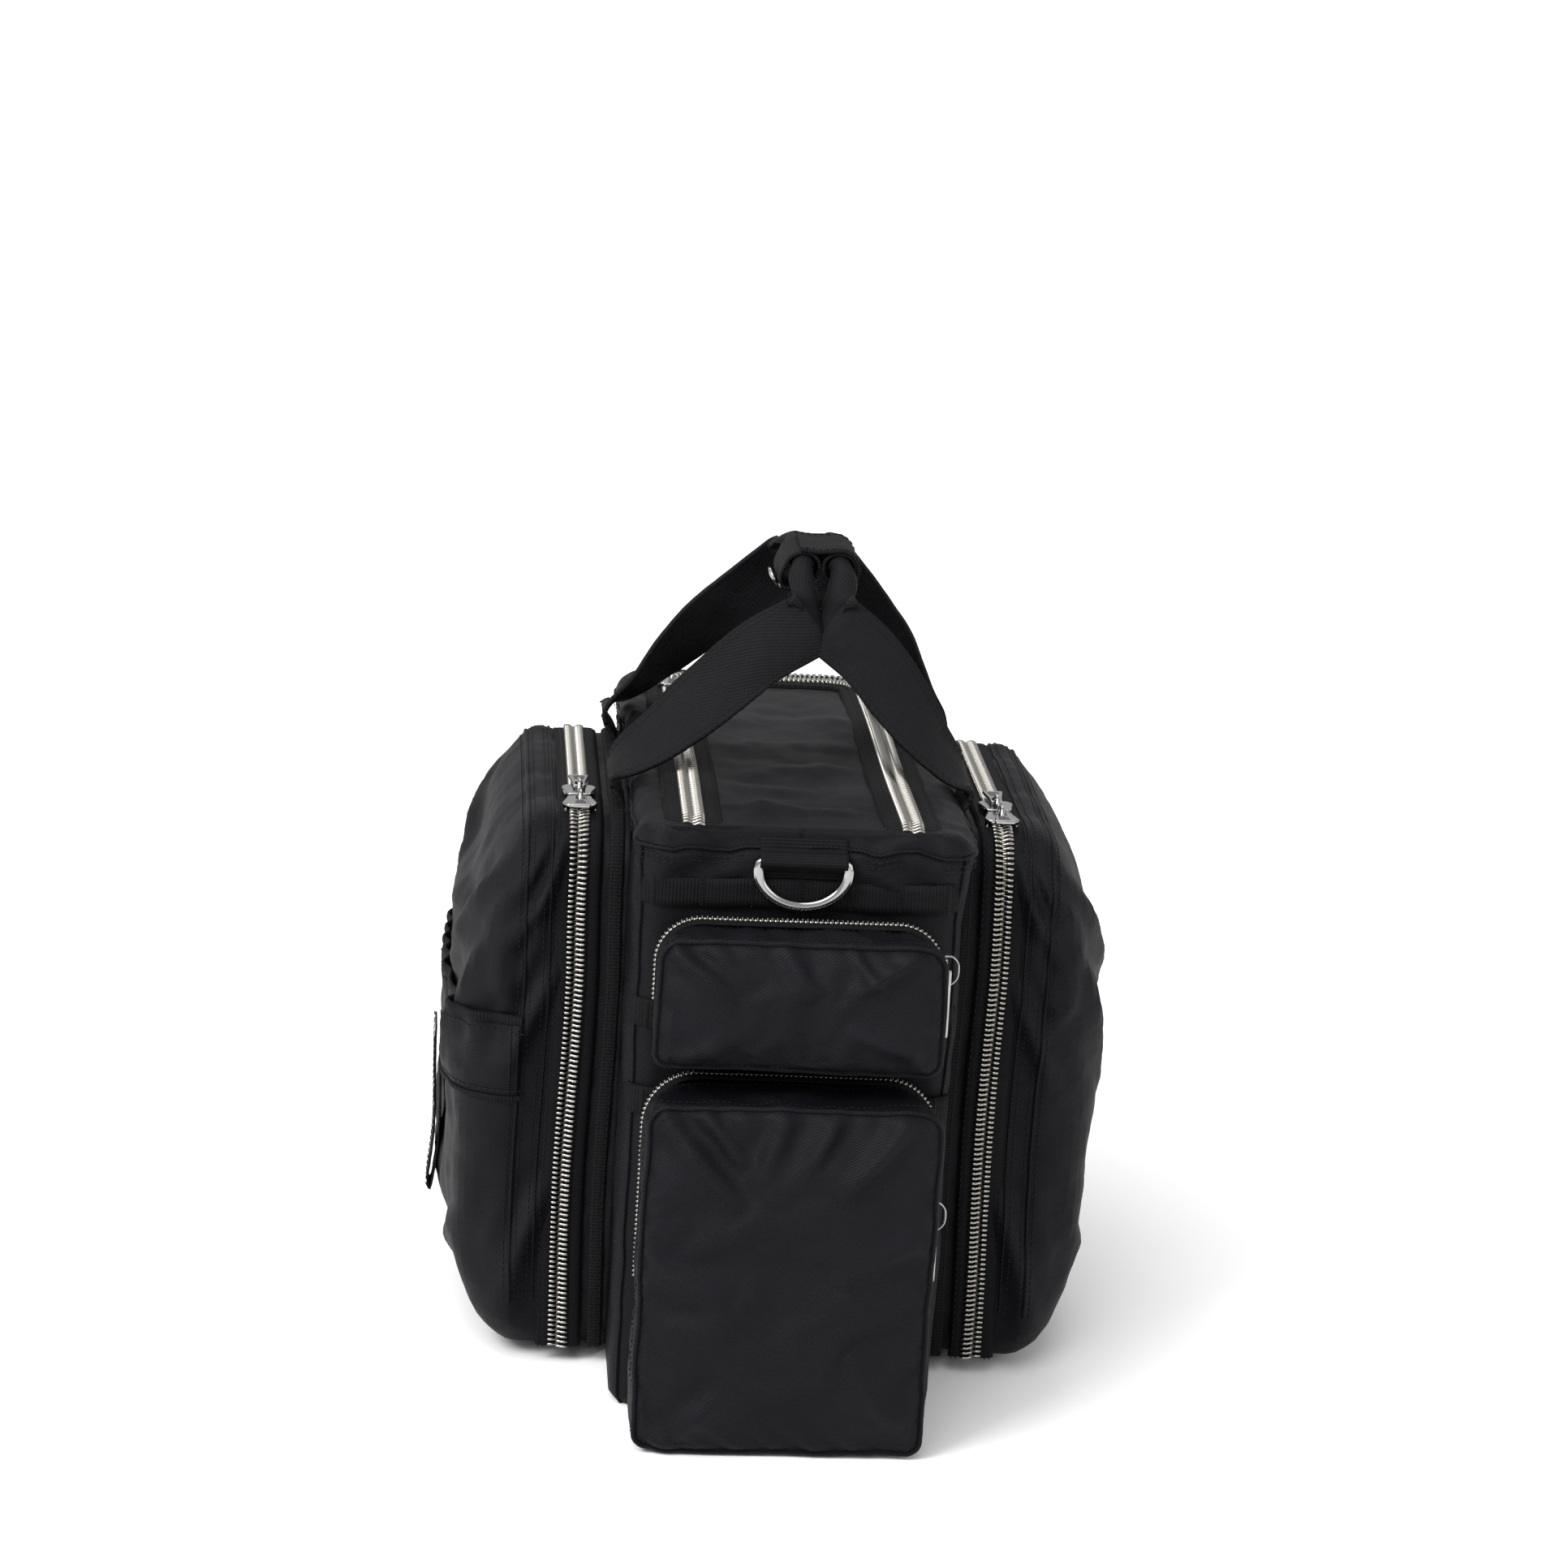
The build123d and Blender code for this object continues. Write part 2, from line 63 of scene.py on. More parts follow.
# --- places read from the frame, in millimetres ---------------------------------------------------
BODY_LO, BODY_HI = cad("body_wrap")
BODY_TOP = cad("top_frame")[1][2]
FLAP_LO, FLAP_HI = cad("flap_panel")
CHAIN_TOP = cad("top_zip_frame_teeth")
CHAIN_HALF = CHAIN_TOP[1][0] - 5.0
CHAIN_FAR = CHAIN_TOP[1][1] - 5.0
CHAIN_CORNER = 18.0
POCKET_LO, POCKET_HI = cad("right_pocket_base")[0], cad("right_pocket_cover")[1]
POCKET_SPLIT = cad("right_pocket_base")[1][2]
POCKET_CHAIN_X = cad("right_zip_outer_teeth")[1][0] - 5.0
POCKET_FOOT_Z = cad("right_zip_inner_teeth")[0][2]
GRIP_Z = (cad("left_wrap")[0][2] + cad("left_wrap")[1][2]) / 2
GRIP_X = {s: (cad(f"{s}_wrap")[0][0] + cad(f"{s}_wrap")[1][0]) / 2 for s in ("left", "right")}
WRAP_Y = (cad("left_wrap")[0][1], cad("left_wrap")[1][1])
FOOT_X, FOOT_Z = 78.0, cad("strap_anchors")[1][2] + 2.0


# --- materials ------------------------------------------------------------------------------------
def material(name, base, roughness, metallic=0.0):
    """A principled material and its node tree, ready for pattern nodes."""
    mat = bpy.data.materials.new(name)
    mat.use_nodes = True
    shader = mat.node_tree.nodes["Principled BSDF"]
    shader.inputs["Base Color"].default_value = (*base, 1.0)
    shader.inputs["Roughness"].default_value = roughness
    shader.inputs["Metallic"].default_value = metallic
    return mat, mat.node_tree, shader


def add_node(tree, kind, links=None, **values):
    """A shader node: inputs or settings by name, and the sockets that feed its other inputs."""
    node = tree.nodes.new(kind)
    for key, value in values.items():
        if key in node.inputs:
            node.inputs[key].default_value = value
        else:
            setattr(node, key, value)
    for key, source in (links or {}).items():
        tree.links.new(source, node.inputs[key])
    return node


def scaled_sum(tree, source, factor, rest=None):
    """A socket that gives factor times source, plus rest."""
    node = add_node(tree, "ShaderNodeMath", {0: source}, operation="MULTIPLY_ADD")
    node.inputs[1].default_value = factor
    node.inputs[2].default_value = 0.0
    if rest is not None:
        tree.links.new(rest, node.inputs[2])
    return node.outputs[0]


def noise_field(tree, vector, scale, detail, roughness):
    """A socket with noise."""
    settings = {"Scale": scale, "Detail": detail, "Roughness": roughness}
    return add_node(tree, "ShaderNodeTexNoise", {"Vector": vector}, **settings).outputs["Fac"]


def woven(name, dark, light, roughness, ribs, twill, bump_mm):
    """Cloth whose threads follow the UV map, which is in millimetres.

    ribs is the pitch of the cross ribs and twill that of the diagonal lines, either of them None.
    """
    mat, tree, shader = material(name, dark, roughness)
    uv = add_node(tree, "ShaderNodeTexCoord").outputs["UV"]
    height = None
    for angle, pitch, share in ((0.0, ribs, 0.6), (math.radians(63), twill, 0.5)):
        if pitch:
            place = add_node(tree, "ShaderNodeMapping", {"Vector": uv}, Rotation=(0, 0, angle))
            wave = add_node(
                tree, "ShaderNodeTexWave", {"Vector": place.outputs["Vector"]}, Scale=math.pi / (10 * pitch),
                Distortion=0.5, Detail=1.0,
            )
            wave.inputs["Detail Scale"].default_value = 4.0
            height = scaled_sum(tree, wave.outputs["Fac"], share, height)
    height = scaled_sum(tree, noise_field(tree, uv, 1.4, 3.0, 0.7), 0.55, height)
    stretch = add_node(tree, "ShaderNodeMapping", {"Vector": uv}, Scale=(0.22, 1.5, 1.0))
    threads = scaled_sum(tree, noise_field(tree, stretch.outputs["Vector"], 1.0, 2.0, 0.6), 0.7, height)
    tone = scaled_sum(tree, noise_field(tree, uv, 0.03, 4.0, 0.55), 0.55, threads)
    ramp = add_node(tree, "ShaderNodeMapRange", {"Value": tone})
    ramp.inputs["From Min"].default_value = 0.65
    ramp.inputs["From Max"].default_value = 1.75
    colour = add_node(tree, "ShaderNodeMix", data_type="RGBA")
    tones = {"A": dark, "B": light}
    for socket in colour.inputs:
        if socket.type == "RGBA" and socket.name in tones:
            socket.default_value = (*tones[socket.name], 1.0)
    tree.links.new(ramp.outputs["Result"], colour.inputs["Factor"])
    tree.links.new(colour.outputs[2], shader.inputs["Base Color"])
    bump = add_node(tree, "ShaderNodeBump", {"Height": threads}, Strength=0.7, Distance=bump_mm * MM)
    tree.links.new(bump.outputs["Normal"], shader.inputs["Normal"])
    shader.inputs["Specular IOR Level"].default_value = 0.12
    return mat


def uneven(tree, shader, vector, scale, detail, low, high):
    """Varies a shader's roughness from low to high with noise."""
    links = {"Vector": vector} if vector else {}
    spots = add_node(tree, "ShaderNodeTexNoise", links, Scale=scale, Detail=detail)
    spread = add_node(tree, "ShaderNodeMapRange", {"Value": spots.outputs["Fac"]})
    spread.inputs["To Min"].default_value = low
    spread.inputs["To Max"].default_value = high
    tree.links.new(spread.outputs["Result"], shader.inputs["Roughness"])


def polished(name, base, roughness, scratch):
    """Plated metal with faint wear in its roughness."""
    mat, tree, shader = material(name, base, roughness, metallic=1.0)
    place = add_node(tree, "ShaderNodeTexCoord").outputs["Object"]
    uneven(tree, shader, place, 420.0, 4.0, roughness - scratch, roughness + scratch)
    return mat


NYLON = woven("nylon_twill", (0.0009, 0.0009, 0.0015), (0.0066, 0.0066, 0.0098), 0.55, None, 0.95, 0.34)
LINING = woven("lining", (0.006, 0.006, 0.007), (0.016, 0.016, 0.018), 0.7, None, 0.6, 0.05)
WEBBING = woven("webbing_ribbed", (0.0008, 0.0008, 0.0011), (0.0085, 0.0085, 0.010), 0.74, 1.5, None, 0.5)
STRAP = woven("strap_twill", (0.0012, 0.0012, 0.0015), (0.0088, 0.0088, 0.0104), 0.64, 0.9, 1.4, 0.4)
TAPE = woven("zip_tape", (0.0008, 0.0008, 0.0011), (0.0065, 0.0065, 0.008), 0.76, 1.0, None, 0.2)
THREAD = woven("stitch_thread", (0.004, 0.004, 0.005), (0.014, 0.014, 0.017), 0.5, 0.4, None, 0.05)
NICKEL = polished("polished_nickel", (0.37, 0.365, 0.36), 0.15, 0.05)
TEETH = polished("zip_teeth_nickel", (0.34, 0.325, 0.30), 0.17, 0.05)
DARK_INLAY = polished("dark_inlay", (0.06, 0.06, 0.065), 0.34, 0.05)
BOARD = woven("board_grain", (0.01, 0.01, 0.01), (0.03, 0.03, 0.03), 0.8, None, 2.0, 0.05)


# --- mesh helpers ---------------------------------------------------------------------------------
def assign(thing, body):
    """Attaches the piece to the body that carries it, if one is given."""
    if body:
        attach(thing, body)
    return thing


def publish(name, verts, faces, mat, uv=None, body=None, smooth=True):
    """A mesh object from vertices in millimetres. uv gives one coordinate pair per vertex."""
    mesh = bpy.data.meshes.new(name)
    mesh.from_pydata((np.asarray(verts) * MM).tolist(), [], [list(map(int, f)) for f in faces])
    mesh.materials.append(mat)
    if uv is not None:
        layer = mesh.uv_layers.new(name="UVMap")
        index = np.zeros(len(mesh.loops), dtype=np.int32)
        mesh.loops.foreach_get("vertex_index", index)
        layer.data.foreach_set("uv", np.asarray(uv, dtype=np.float32)[index].ravel())
    mesh.shade_smooth() if smooth else mesh.shade_flat()
    thing = bpy.data.objects.new(name, mesh)
    bpy.context.scene.collection.objects.link(thing)
    return assign(thing, body)


def grid_faces(nu, nv, close_u=False, close_v=False):
    """Quads of a grid of nu by nv vertices."""
    i = np.arange(nu if close_u else nu - 1)
    j = np.arange(nv if close_v else nv - 1)
    i, j = np.meshgrid(i, j, indexing="ij")
    ii, jj = (i + 1) % nu, (j + 1) % nv
    return np.stack([i * nv + j, ii * nv + j, ii * nv + jj, i * nv + jj], -1).reshape(-1, 4)


def metric_uv(points):
    """Arc lengths along a grid's two directions, in millimetres."""
    du = np.linalg.norm(np.diff(points, axis=0), axis=2).mean(1)
    dv = np.linalg.norm(np.diff(points, axis=1), axis=2).mean(0)
    u = np.concatenate([[0], np.cumsum(du)])
    v = np.concatenate([[0], np.cumsum(dv)])
    return np.stack(np.meshgrid(u, v, indexing="ij"), -1).reshape(-1, 2)


def facing(verts, faces, outward):
    """The faces, all turned over if that brings them round to the outward directions."""
    agree = (vertex_normals(verts, faces) * outward).sum()
    return faces if agree > 0 else faces[:, ::-1]


def lattice(name, points, mat, body, thick=0.0, close_u=False, close_v=False, out=None):
    """Cloth from a grid of points, ridden on a body.

    thick is the cloth's depth behind the grid, and out the direction that its good side faces.
    """
    nu, nv = points.shape[:2]
    faces = grid_faces(nu, nv, close_u, close_v)
    verts, uv = points.reshape(-1, 3), metric_uv(points)
    if out is not None:
        faces = facing(verts, faces, np.broadcast_to(out, points.shape).reshape(-1, 3))
    if thick:
        verts, faces, uv = thicken(verts, faces, uv, thick)
    return publish(name, verts, faces, mat, uv, body)


def vertex_normals(verts, faces):
    """Area-weighted normals of a quad mesh."""
    a, b, c, d = (verts[faces[:, k]] for k in range(4))
    face_n = np.cross(c - a, d - b)
    normals = np.zeros_like(verts)
    for k in range(4):
        np.add.at(normals, faces[:, k], face_n)
    return normals / np.maximum(np.linalg.norm(normals, axis=1, keepdims=True), 1e-9)


def thicken(verts, faces, uv, depth):
    """Adds a back side and a rim to an open quad sheet."""
    normals = vertex_normals(verts, faces)
    count = len(verts)
    edges = np.concatenate([faces[:, [k, (k + 1) % 4]] for k in range(4)])
    keys = np.sort(edges, axis=1)
    _, first, times = np.unique(keys, axis=0, return_index=True, return_counts=True)
    rim = edges[first[times == 1]]
    walls = np.stack([rim[:, 1], rim[:, 0], rim[:, 0] + count, rim[:, 1] + count], -1)
    back = faces[:, ::-1] + count
    return (
        np.concatenate([verts, verts - normals * depth]),
        np.concatenate([faces, back, walls]),
        np.concatenate([uv, uv]),
    )


def unit(v):
    """Vectors scaled to length one."""
    v = np.asarray(v, float)
    return v / np.maximum(np.linalg.norm(v, axis=-1, keepdims=True), 1e-9)


def tangents(path, closed=False):
    """Directions along a polyline."""
    if closed:
        return unit(np.roll(path, -1, 0) - np.roll(path, 1, 0))
    return unit(np.gradient(path, axis=0))


def tube(name, path, radius, mat, body, sides=8, closed=False, hint=(0, 0, 1)):
    """A cord along a polyline, such as piping. radius may be a pair, towards the hint and across it."""
    path = np.asarray(path, float)
    wide, narrow = radius if isinstance(radius, tuple) else (radius, radius)
    t = tangents(path, closed)
    n = np.zeros_like(path)
    last = unit(np.cross(t[0], np.cross(np.array(hint, float), t[0])))
    for k in range(len(path)):
        last = unit(last - t[k] * np.dot(last, t[k]))
        n[k] = last
    b = np.cross(t, n)
    angle = np.linspace(0, 2 * math.pi, sides, endpoint=False)
    ring = wide * n[:, None] * np.cos(angle)[None, :, None]
    points = path[:, None] + ring + narrow * b[:, None] * np.sin(angle)[None, :, None]
    faces = grid_faces(len(path), sides, closed, True)
    if not closed:
        first, last_ring = np.arange(sides)[::-1], np.arange(sides) + (len(path) - 1) * sides
        faces = [*faces.tolist(), first.tolist(), last_ring.tolist()]
    return publish(name, points.reshape(-1, 3), faces, mat, metric_uv(points), body)


def resample(path, step):
    """Evenly spaced points along a polyline."""
    path = np.asarray(path, float)
    lengths = np.concatenate([[0], np.cumsum(np.linalg.norm(np.diff(path, axis=0), axis=1))])
    count = max(2, int(round(lengths[-1] / step)) + 1)
    s = np.linspace(0, lengths[-1], count)
    return np.stack([np.interp(s, lengths, path[:, k]) for k in range(path.shape[1])], -1)


def capsule(sides=6):
    """A unit stitch: a little grain along X, one long and one across."""
    rings = [(-0.5, 0.02), (-0.42, 0.75), (-0.2, 1.0), (0.2, 1.0), (0.42, 0.75), (0.5, 0.02)]
    angle = np.linspace(0, 2 * math.pi, sides, endpoint=False)
    points = [[(x, r * math.cos(a), r * math.sin(a)) for a in angle] for x, r in rings]
    return np.array(points).reshape(-1, 3), grid_faces(len(rings), sides, False, True)


def scatter(name, base, faces, places, frames, scales, mat, body):
    """Copies of one small mesh, joined. frames holds the three axes of each copy."""
    count = len(places)
    verts = np.einsum("nij,nvj->nvi", frames, base[None] * scales[:, None]) + places[:, None]
    all_faces = (faces[None] + (np.arange(count) * len(base))[:, None, None]).reshape(-1, 4)
    uv = np.tile(base[:, :2], (count, 1))
    return publish(name, verts.reshape(-1, 3), all_faces, mat, uv, body)


def stitches(name, lines, normals, body, pitch=3.0, length=2.1, radius=0.26, lift=0.1):
    """Rows of topstitching along polylines, each with an outward direction for every point."""
    base, faces = capsule()
    places, frames = [], []
    for line, normal in zip(lines, normals):
        line = np.asarray(line, float)
        normal = np.broadcast_to(np.asarray(normal, float), line.shape)
        both = resample(np.concatenate([line, normal], 1), pitch)
        spots, out = both[:, :3], unit(both[:, 3:])
        t = tangents(spots)
        out = unit(out - t * (out * t).sum(1, keepdims=True))
        places.append(spots + out * lift)
        frames.append(np.stack([t, np.cross(out, t), out], -1))
    places, frames = np.concatenate(places), np.concatenate(frames)
    scales = np.tile([length, radius, radius], (len(places), 1))
    return scatter(name, base, faces, places, frames, scales, THREAD, body)


def swell(points, size, seed, octaves=3):
    """Smooth noise from about -1 to 1 at each point, with features of a size in millimetres."""
    shift = Vector((seed * 17.3, seed * 5.1, seed * 9.7))
    flat = np.asarray(points).reshape(-1, 3) / size
    values = [noise.fractal(Vector(p) + shift, 0.9, 2.0, octaves) for p in flat]
    return np.array(values).reshape(np.asarray(points).shape[:-1])


def fold(a, b, start, end, width, height, lean=0.5):
    """A crease in a sheet with coordinates a and b, from start to end: a ridge beside a valley."""
    start, end = np.array(start, float), np.array(end, float)
    along = end - start
    length = np.linalg.norm(along)
    along /= length
    t = (a - start[0]) * along[0] + (b - start[1]) * along[1]
    d = -(a - start[0]) * along[1] + (b - start[1]) * along[0]
    share = np.clip(t / length, -0.3, 1.3)
    fade = np.clip(np.sin(np.clip((share + 0.12) / 1.24, 0, 1) * math.pi), 0, 1) ** 0.7
    q = d / width
    return height * fade * (np.exp(-q * q) * (1 - lean) - lean * q * np.exp(-q * q) * 1.6)


def pillow(share_a, share_b, power=2.2):
    """How far cloth swells between seams at 0 and 1 in both directions."""
    a = 1 - np.abs(2 * share_a - 1) ** power
    b = 1 - np.abs(2 * share_b - 1) ** power
    return np.clip(a, 0, 1) * np.clip(b, 0, 1)


def sheet(x, y, z):
    """A grid of points from coordinates that broadcast to its shape."""
    return np.stack(np.broadcast_arrays(x, y, z), -1).astype(float)


def upright(plan_out):
    """Level directions in space from directions in plan."""
    return np.column_stack([plan_out, np.zeros(len(plan_out))])


def dress(node, mat):
    """Gives a carried-over CAD node its material."""
    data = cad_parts[node].data
    data.materials.clear()
    data.materials.append(mat)


# --- curves of the bag ----------------------------------------------------------------------------
def rounded_loop(a0, a1, b0, b1, low_r, high_r, step):
    """A closed rounded rectangle from (a0, b0) to (a1, b1): points and outward directions.

    low_r rounds the two corners at b0 and high_r those at b1. It starts in the middle of the low
    side and runs towards a1. step is a spacing, or the counts across, up and for a corner.
    """
    points, outs = [], []
    across, up, turn_count = step if isinstance(step, tuple) else (None, None, None)

    def run(start, end, out, count=None):
        count = count or max(2, int(np.hypot(end[0] - start[0], end[1] - start[1]) / step))
        for share in np.linspace(0, 1, count, endpoint=False):
            points.append([start[0] + (end[0] - start[0]) * share, start[1] + (end[1] - start[1]) * share])
            outs.append(out)

    def turn(centre, radius, start_deg):
        count = turn_count or max(3, int(radius * math.pi / 2 / step))
        for share in np.linspace(0, 1, count, endpoint=False):
            angle = math.radians(start_deg + 90 * share)
            out = [math.cos(angle), math.sin(angle)]
            points.append([centre[0] + radius * out[0], centre[1] + radius * out[1]])
            outs.append(out)

    mid = (a0 + a1) / 2
    run((mid, b0), (a1 - low_r, b0), (0, -1), across and across // 2)
    turn((a1 - low_r, b0 + low_r), low_r, -90)
    run((a1, b0 + low_r), (a1, b1 - high_r), (1, 0), up)
    turn((a1 - high_r, b1 - high_r), high_r, 0)
    run((a1 - high_r, b1), (a0 + high_r, b1), (0, 1), across)
    turn((a0 + high_r, b1 - high_r), high_r, 90)
    run((a0, b1 - high_r), (a0, b0 + low_r), (-1, 0), up)
    turn((a0 + low_r, b0 + low_r), low_r, 180)
    run((a0 + low_r, b0), (mid, b0), (0, -1), across and across // 2)
    return np.array(points), np.array(outs)


def arch_curve(a0, a1, foot, top, radius, step):
    """An upside-down U from (a0, foot) over the top to (a1, foot): points and outward directions."""
    points, outs = rounded_loop(a0, a1, foot - 40, top, 1.0, radius, step)
    keep = points[:, 1] > foot
    points, outs = points[keep], outs[keep]
    start = np.argmin(np.hypot(points[:, 0] - a0, points[:, 1] - foot))
    order = np.arange(len(points))[::-1]
    order = np.roll(order, -int(np.where(order == start)[0][0]))
    points, outs = points[order], outs[order]
    both = resample(np.concatenate([points, outs], 1), step)
    return both[:, :2], unit(both[:, 2:])


# --- zips -----------------------------------------------------------------------------------------
TEETH_PITCH, FINE_PITCH = 2.3, 2.1


def tooth(reach, past, thick, height):
    """One zip tooth: X along the chain, Y away from its middle, Z out of the cloth."""
    profile = [(-past, 0.25), (-0.6 * past, 0.46), (0.12 * reach, 0.54), (0.25 * reach, 0.80)]
    profile += [(0.45 * reach, 1.0), (0.75 * reach, 0.98), (0.93 * reach, 0.76), (reach, 0.25)]
    across = [(-0.5, -0.25), (-0.47, 0.55), (-0.24, 0.92), (0.24, 0.92), (0.47, 0.55), (0.5, -0.25)]
    verts = [[x * thick, y, z * h * height] for y, h in profile for x, z in across]
    faces = grid_faces(len(profile), len(across)).tolist()
    last = (len(profile) - 1) * len(across)
    near = [[0, 1, 4, 5], [1, 2, 3, 4]]
    faces += near + [[last + k for k in reversed(face)] for face in near]
    return np.array(verts), np.array(faces)


def teeth_row(name, path, outs, lateral, body, pitch, reach, phase, height=2.2, past=0.8, thick=0.56):
    """A row of teeth along a path. lateral points from the chain's middle to this row's tape."""
    base, faces = tooth(reach, past, pitch * thick, height)
    both = np.concatenate([path, outs, np.broadcast_to(lateral, path.shape)], 1)
    fine = resample(both, pitch / 2)[phase::2]
    spots, out, side = fine[:, :3], unit(fine[:, 3:6]), unit(fine[:, 6:])
    t = tangents(spots)
    side = unit(side - t * (side * t).sum(1, keepdims=True))
    out = unit(out - t * (out * t).sum(1, keepdims=True) - side * (out * side).sum(1, keepdims=True))
    frames = np.stack([t, side, out], -1)
    return scatter(name, base, faces, spots, frames, np.ones((len(spots), 3)), TEETH, body)


def ribbon(path, outs, lateral, near, far, steps, arch=0.0):
    """Points of a strip beside a path: from near to far along lateral, arched outwards a little."""
    offsets = np.linspace(near, far, steps)
    crown = arch * np.sin(np.linspace(0, math.pi, steps))
    return path[:, None] + lateral[:, None] * offsets[None, :, None] + outs[:, None] * crown[None, :, None]


# --- side pockets ---------------------------------------------------------------------------------
POCKET_R = 20.0
POCKET_CORNER = 24.0
BINDING_X = 75.7
SEAMS = ((103.5, 0.7), (114.0, 1.0))  # distance from the bag's middle, radius
OUT_X = POCKET_HI[0]
POCKET_BOX = POCKET_LO[1], POCKET_HI[1], POCKET_LO[2], POCKET_HI[2]


def pocket_height(points, normals):
    """How far the pocket's cloth stands off its plain shape. X is measured outwards on both sides."""
    x, y, z = points[:, 0], points[:, 1], points[:, 2]
    share_y = (y - POCKET_LO[1]) / (POCKET_HI[1] - POCKET_LO[1])
    share_z = (z - POCKET_LO[2]) / (POCKET_HI[2] - POCKET_LO[2])
    share_x = np.clip((x - POCKET_CHAIN_X - 6) / (OUT_X - POCKET_CHAIN_X - 6), 0, 1)
    facing = np.clip(normals[:, 0], 0, 1)
    front = np.clip(-normals[:, 1], 0, 1)
    rear = np.clip(normals[:, 1], 0, 1)
    top = np.clip(normals[:, 2], 0, 1)
    away = np.clip(share_x * 2.2, 0, 1)
    height = 6.0 * facing * pillow(share_y, share_z * 0.9 + 0.05, 3.4)
    height += away * (2.6 * swell(points, 58, 3) + 1.1 * swell(points, 21, 5))
    return height + away * 2.0 * np.sin(math.pi * share_x) * (front + rear + 0.6 * top)


def pocket_folds(points, normals):
    """Creases of a pocket's cloth. X is measured outwards on both sides."""
    x, y, z = points[:, 0], points[:, 1], points[:, 2]
    facing_out = np.clip(normals[:, 0], 0, 1)
    ends = np.abs(normals[:, 1])
    height = np.zeros(len(x))
    for start, end, width, rise, lean in (
        ((104, 236), (126, 176), 5.5, 4.6, 0.5),
        ((110, 240), (137, 205), 6.0, 2.4, 0.5),
        ((113, 208), (122, 178), 4.2, -5.0, 0.3),
        ((103, 182), (122, 140), 6.0, 3.0, 0.6),
        ((130, 196), (121, 160), 4.5, 1.8, 0.6),
        ((103, 84), (124, 26), 7.0, 3.4, 0.6),
        ((126, 92), (134, 40), 6.0, -1.6, 0.4),
    ):
        height += 1.9 * ends * fold(x, z, start, end, 0.9 * width, rise, lean)
    for start, end, width, rise, lean in (
        ((-84, 232), (-30, 170), 9.0, 3.0, 0.5),
        ((-86, 205), (-50, 118), 8.0, 2.4, 0.6),
        ((90, 228), (30, 176), 9.0, 2.8, 0.5),
        ((60, 110), (-10, 40), 12.0, 2.2, 0.6),
        ((-70, 60), (0, 22), 10.0, 2.4, 0.5),
        ((86, 66), (50, 16), 8.0, -2.0, 0.4),
        ((-40, 196), (40, 202), 14.0, 2.0, 0.6),
    ):
        height += 2.2 * facing_out * fold(y, z, start, end, 0.9 * width, rise, lean)
    return height


def shell(back, front, counts, depths, roll):
    """A shallow cloth box: sides, a rolled edge and a face, its outline going from back to front.

    back and front are outlines with outward directions, made with the same counts. The points are
    (a, b, depth), ring after ring, and then the inside of the face. Gives points, normals, UVs,
    faces and the number of points in a ring.
    """
    (outline_b, outs_b), (outline_f, outs_f) = back, front
    total, depth = len(outline_b), depths[-1] + roll
    flat = np.zeros(total)
    points, normals, uvs = [], [], []
    steps = [(d, 0.0) for d in depths] + [(depths[-1], a) for a in np.linspace(0, math.pi / 2, 8)[1:]]
    for d, angle in steps:
        share = min(1.0, (d - depths[0]) / (depths[-1] - depths[0]) * 1.3)
        share = share * share * (3 - 2 * share)
        outline = outline_b * (1 - share) + outline_f * share
        outs = unit(outs_b * (1 - share) + outs_f * share)
        inset, rise = roll * (1 - math.cos(angle)), roll * math.sin(angle)
        ring = np.column_stack([outline - outs * inset, flat + d + rise])
        points.append(ring)
        normals.append(np.column_stack([outs * math.cos(angle), flat + math.sin(angle)]))
        uvs.append(ring[:, :2] + outs * (depth - ring[:, 2:]))
    across, up, corner = counts
    first = across // 2 + corner // 2
    second = first + up + corner
    third = second + across + corner
    fourth = third + up + corner
    nu, nv = across + corner + 1, up + corner + 1
    edge = points[-1][:, :2]
    low, high = edge[(fourth + np.arange(nu)) % total], edge[(third - np.arange(nu)) % total]
    left, right = edge[(fourth - np.arange(nv)) % total], edge[(first + np.arange(nv)) % total]
    u, v = np.linspace(0, 1, nu)[:, None, None], np.linspace(0, 1, nv)[None, :, None]
    patch = (1 - v) * low[:, None] + v * high[:, None] + (1 - u) * left[None] + u * right[None]
    patch = patch - (1 - u) * (1 - v) * low[0] - u * (1 - v) * low[-1] - (1 - u) * v * high[0] - u * v * high[-1]
    inner = patch[1:-1, 1:-1].reshape(-1, 2)
    rings = len(points)
    base = (rings - 1) * total
    table = np.zeros((nu, nv), dtype=int)
    table[:, 0] = base + (fourth + np.arange(nu)) % total
    table[:, -1] = base + (third - np.arange(nu)) % total
    table[0] = base + (fourth - np.arange(nv)) % total
    table[-1] = base + (first + np.arange(nv)) % total
    table[1:-1, 1:-1] = rings * total + np.arange(len(inner)).reshape(nu - 2, nv - 2)
    sides = grid_faces(rings, total, False, True)
    face = np.stack([table[:-1, :-1], table[1:, :-1], table[1:, 1:], table[:-1, 1:]], -1).reshape(-1, 4)
    normals.append(np.tile([0.0, 0.0, 1.0], (len(inner), 1)))
    points.append(np.column_stack([inner, np.full(len(inner), depth)]))
    uvs.append(inner)
    points, normals, uvs = (np.concatenate(v) for v in (points, normals, uvs))
    return points, normals, uvs, (sides, face), total


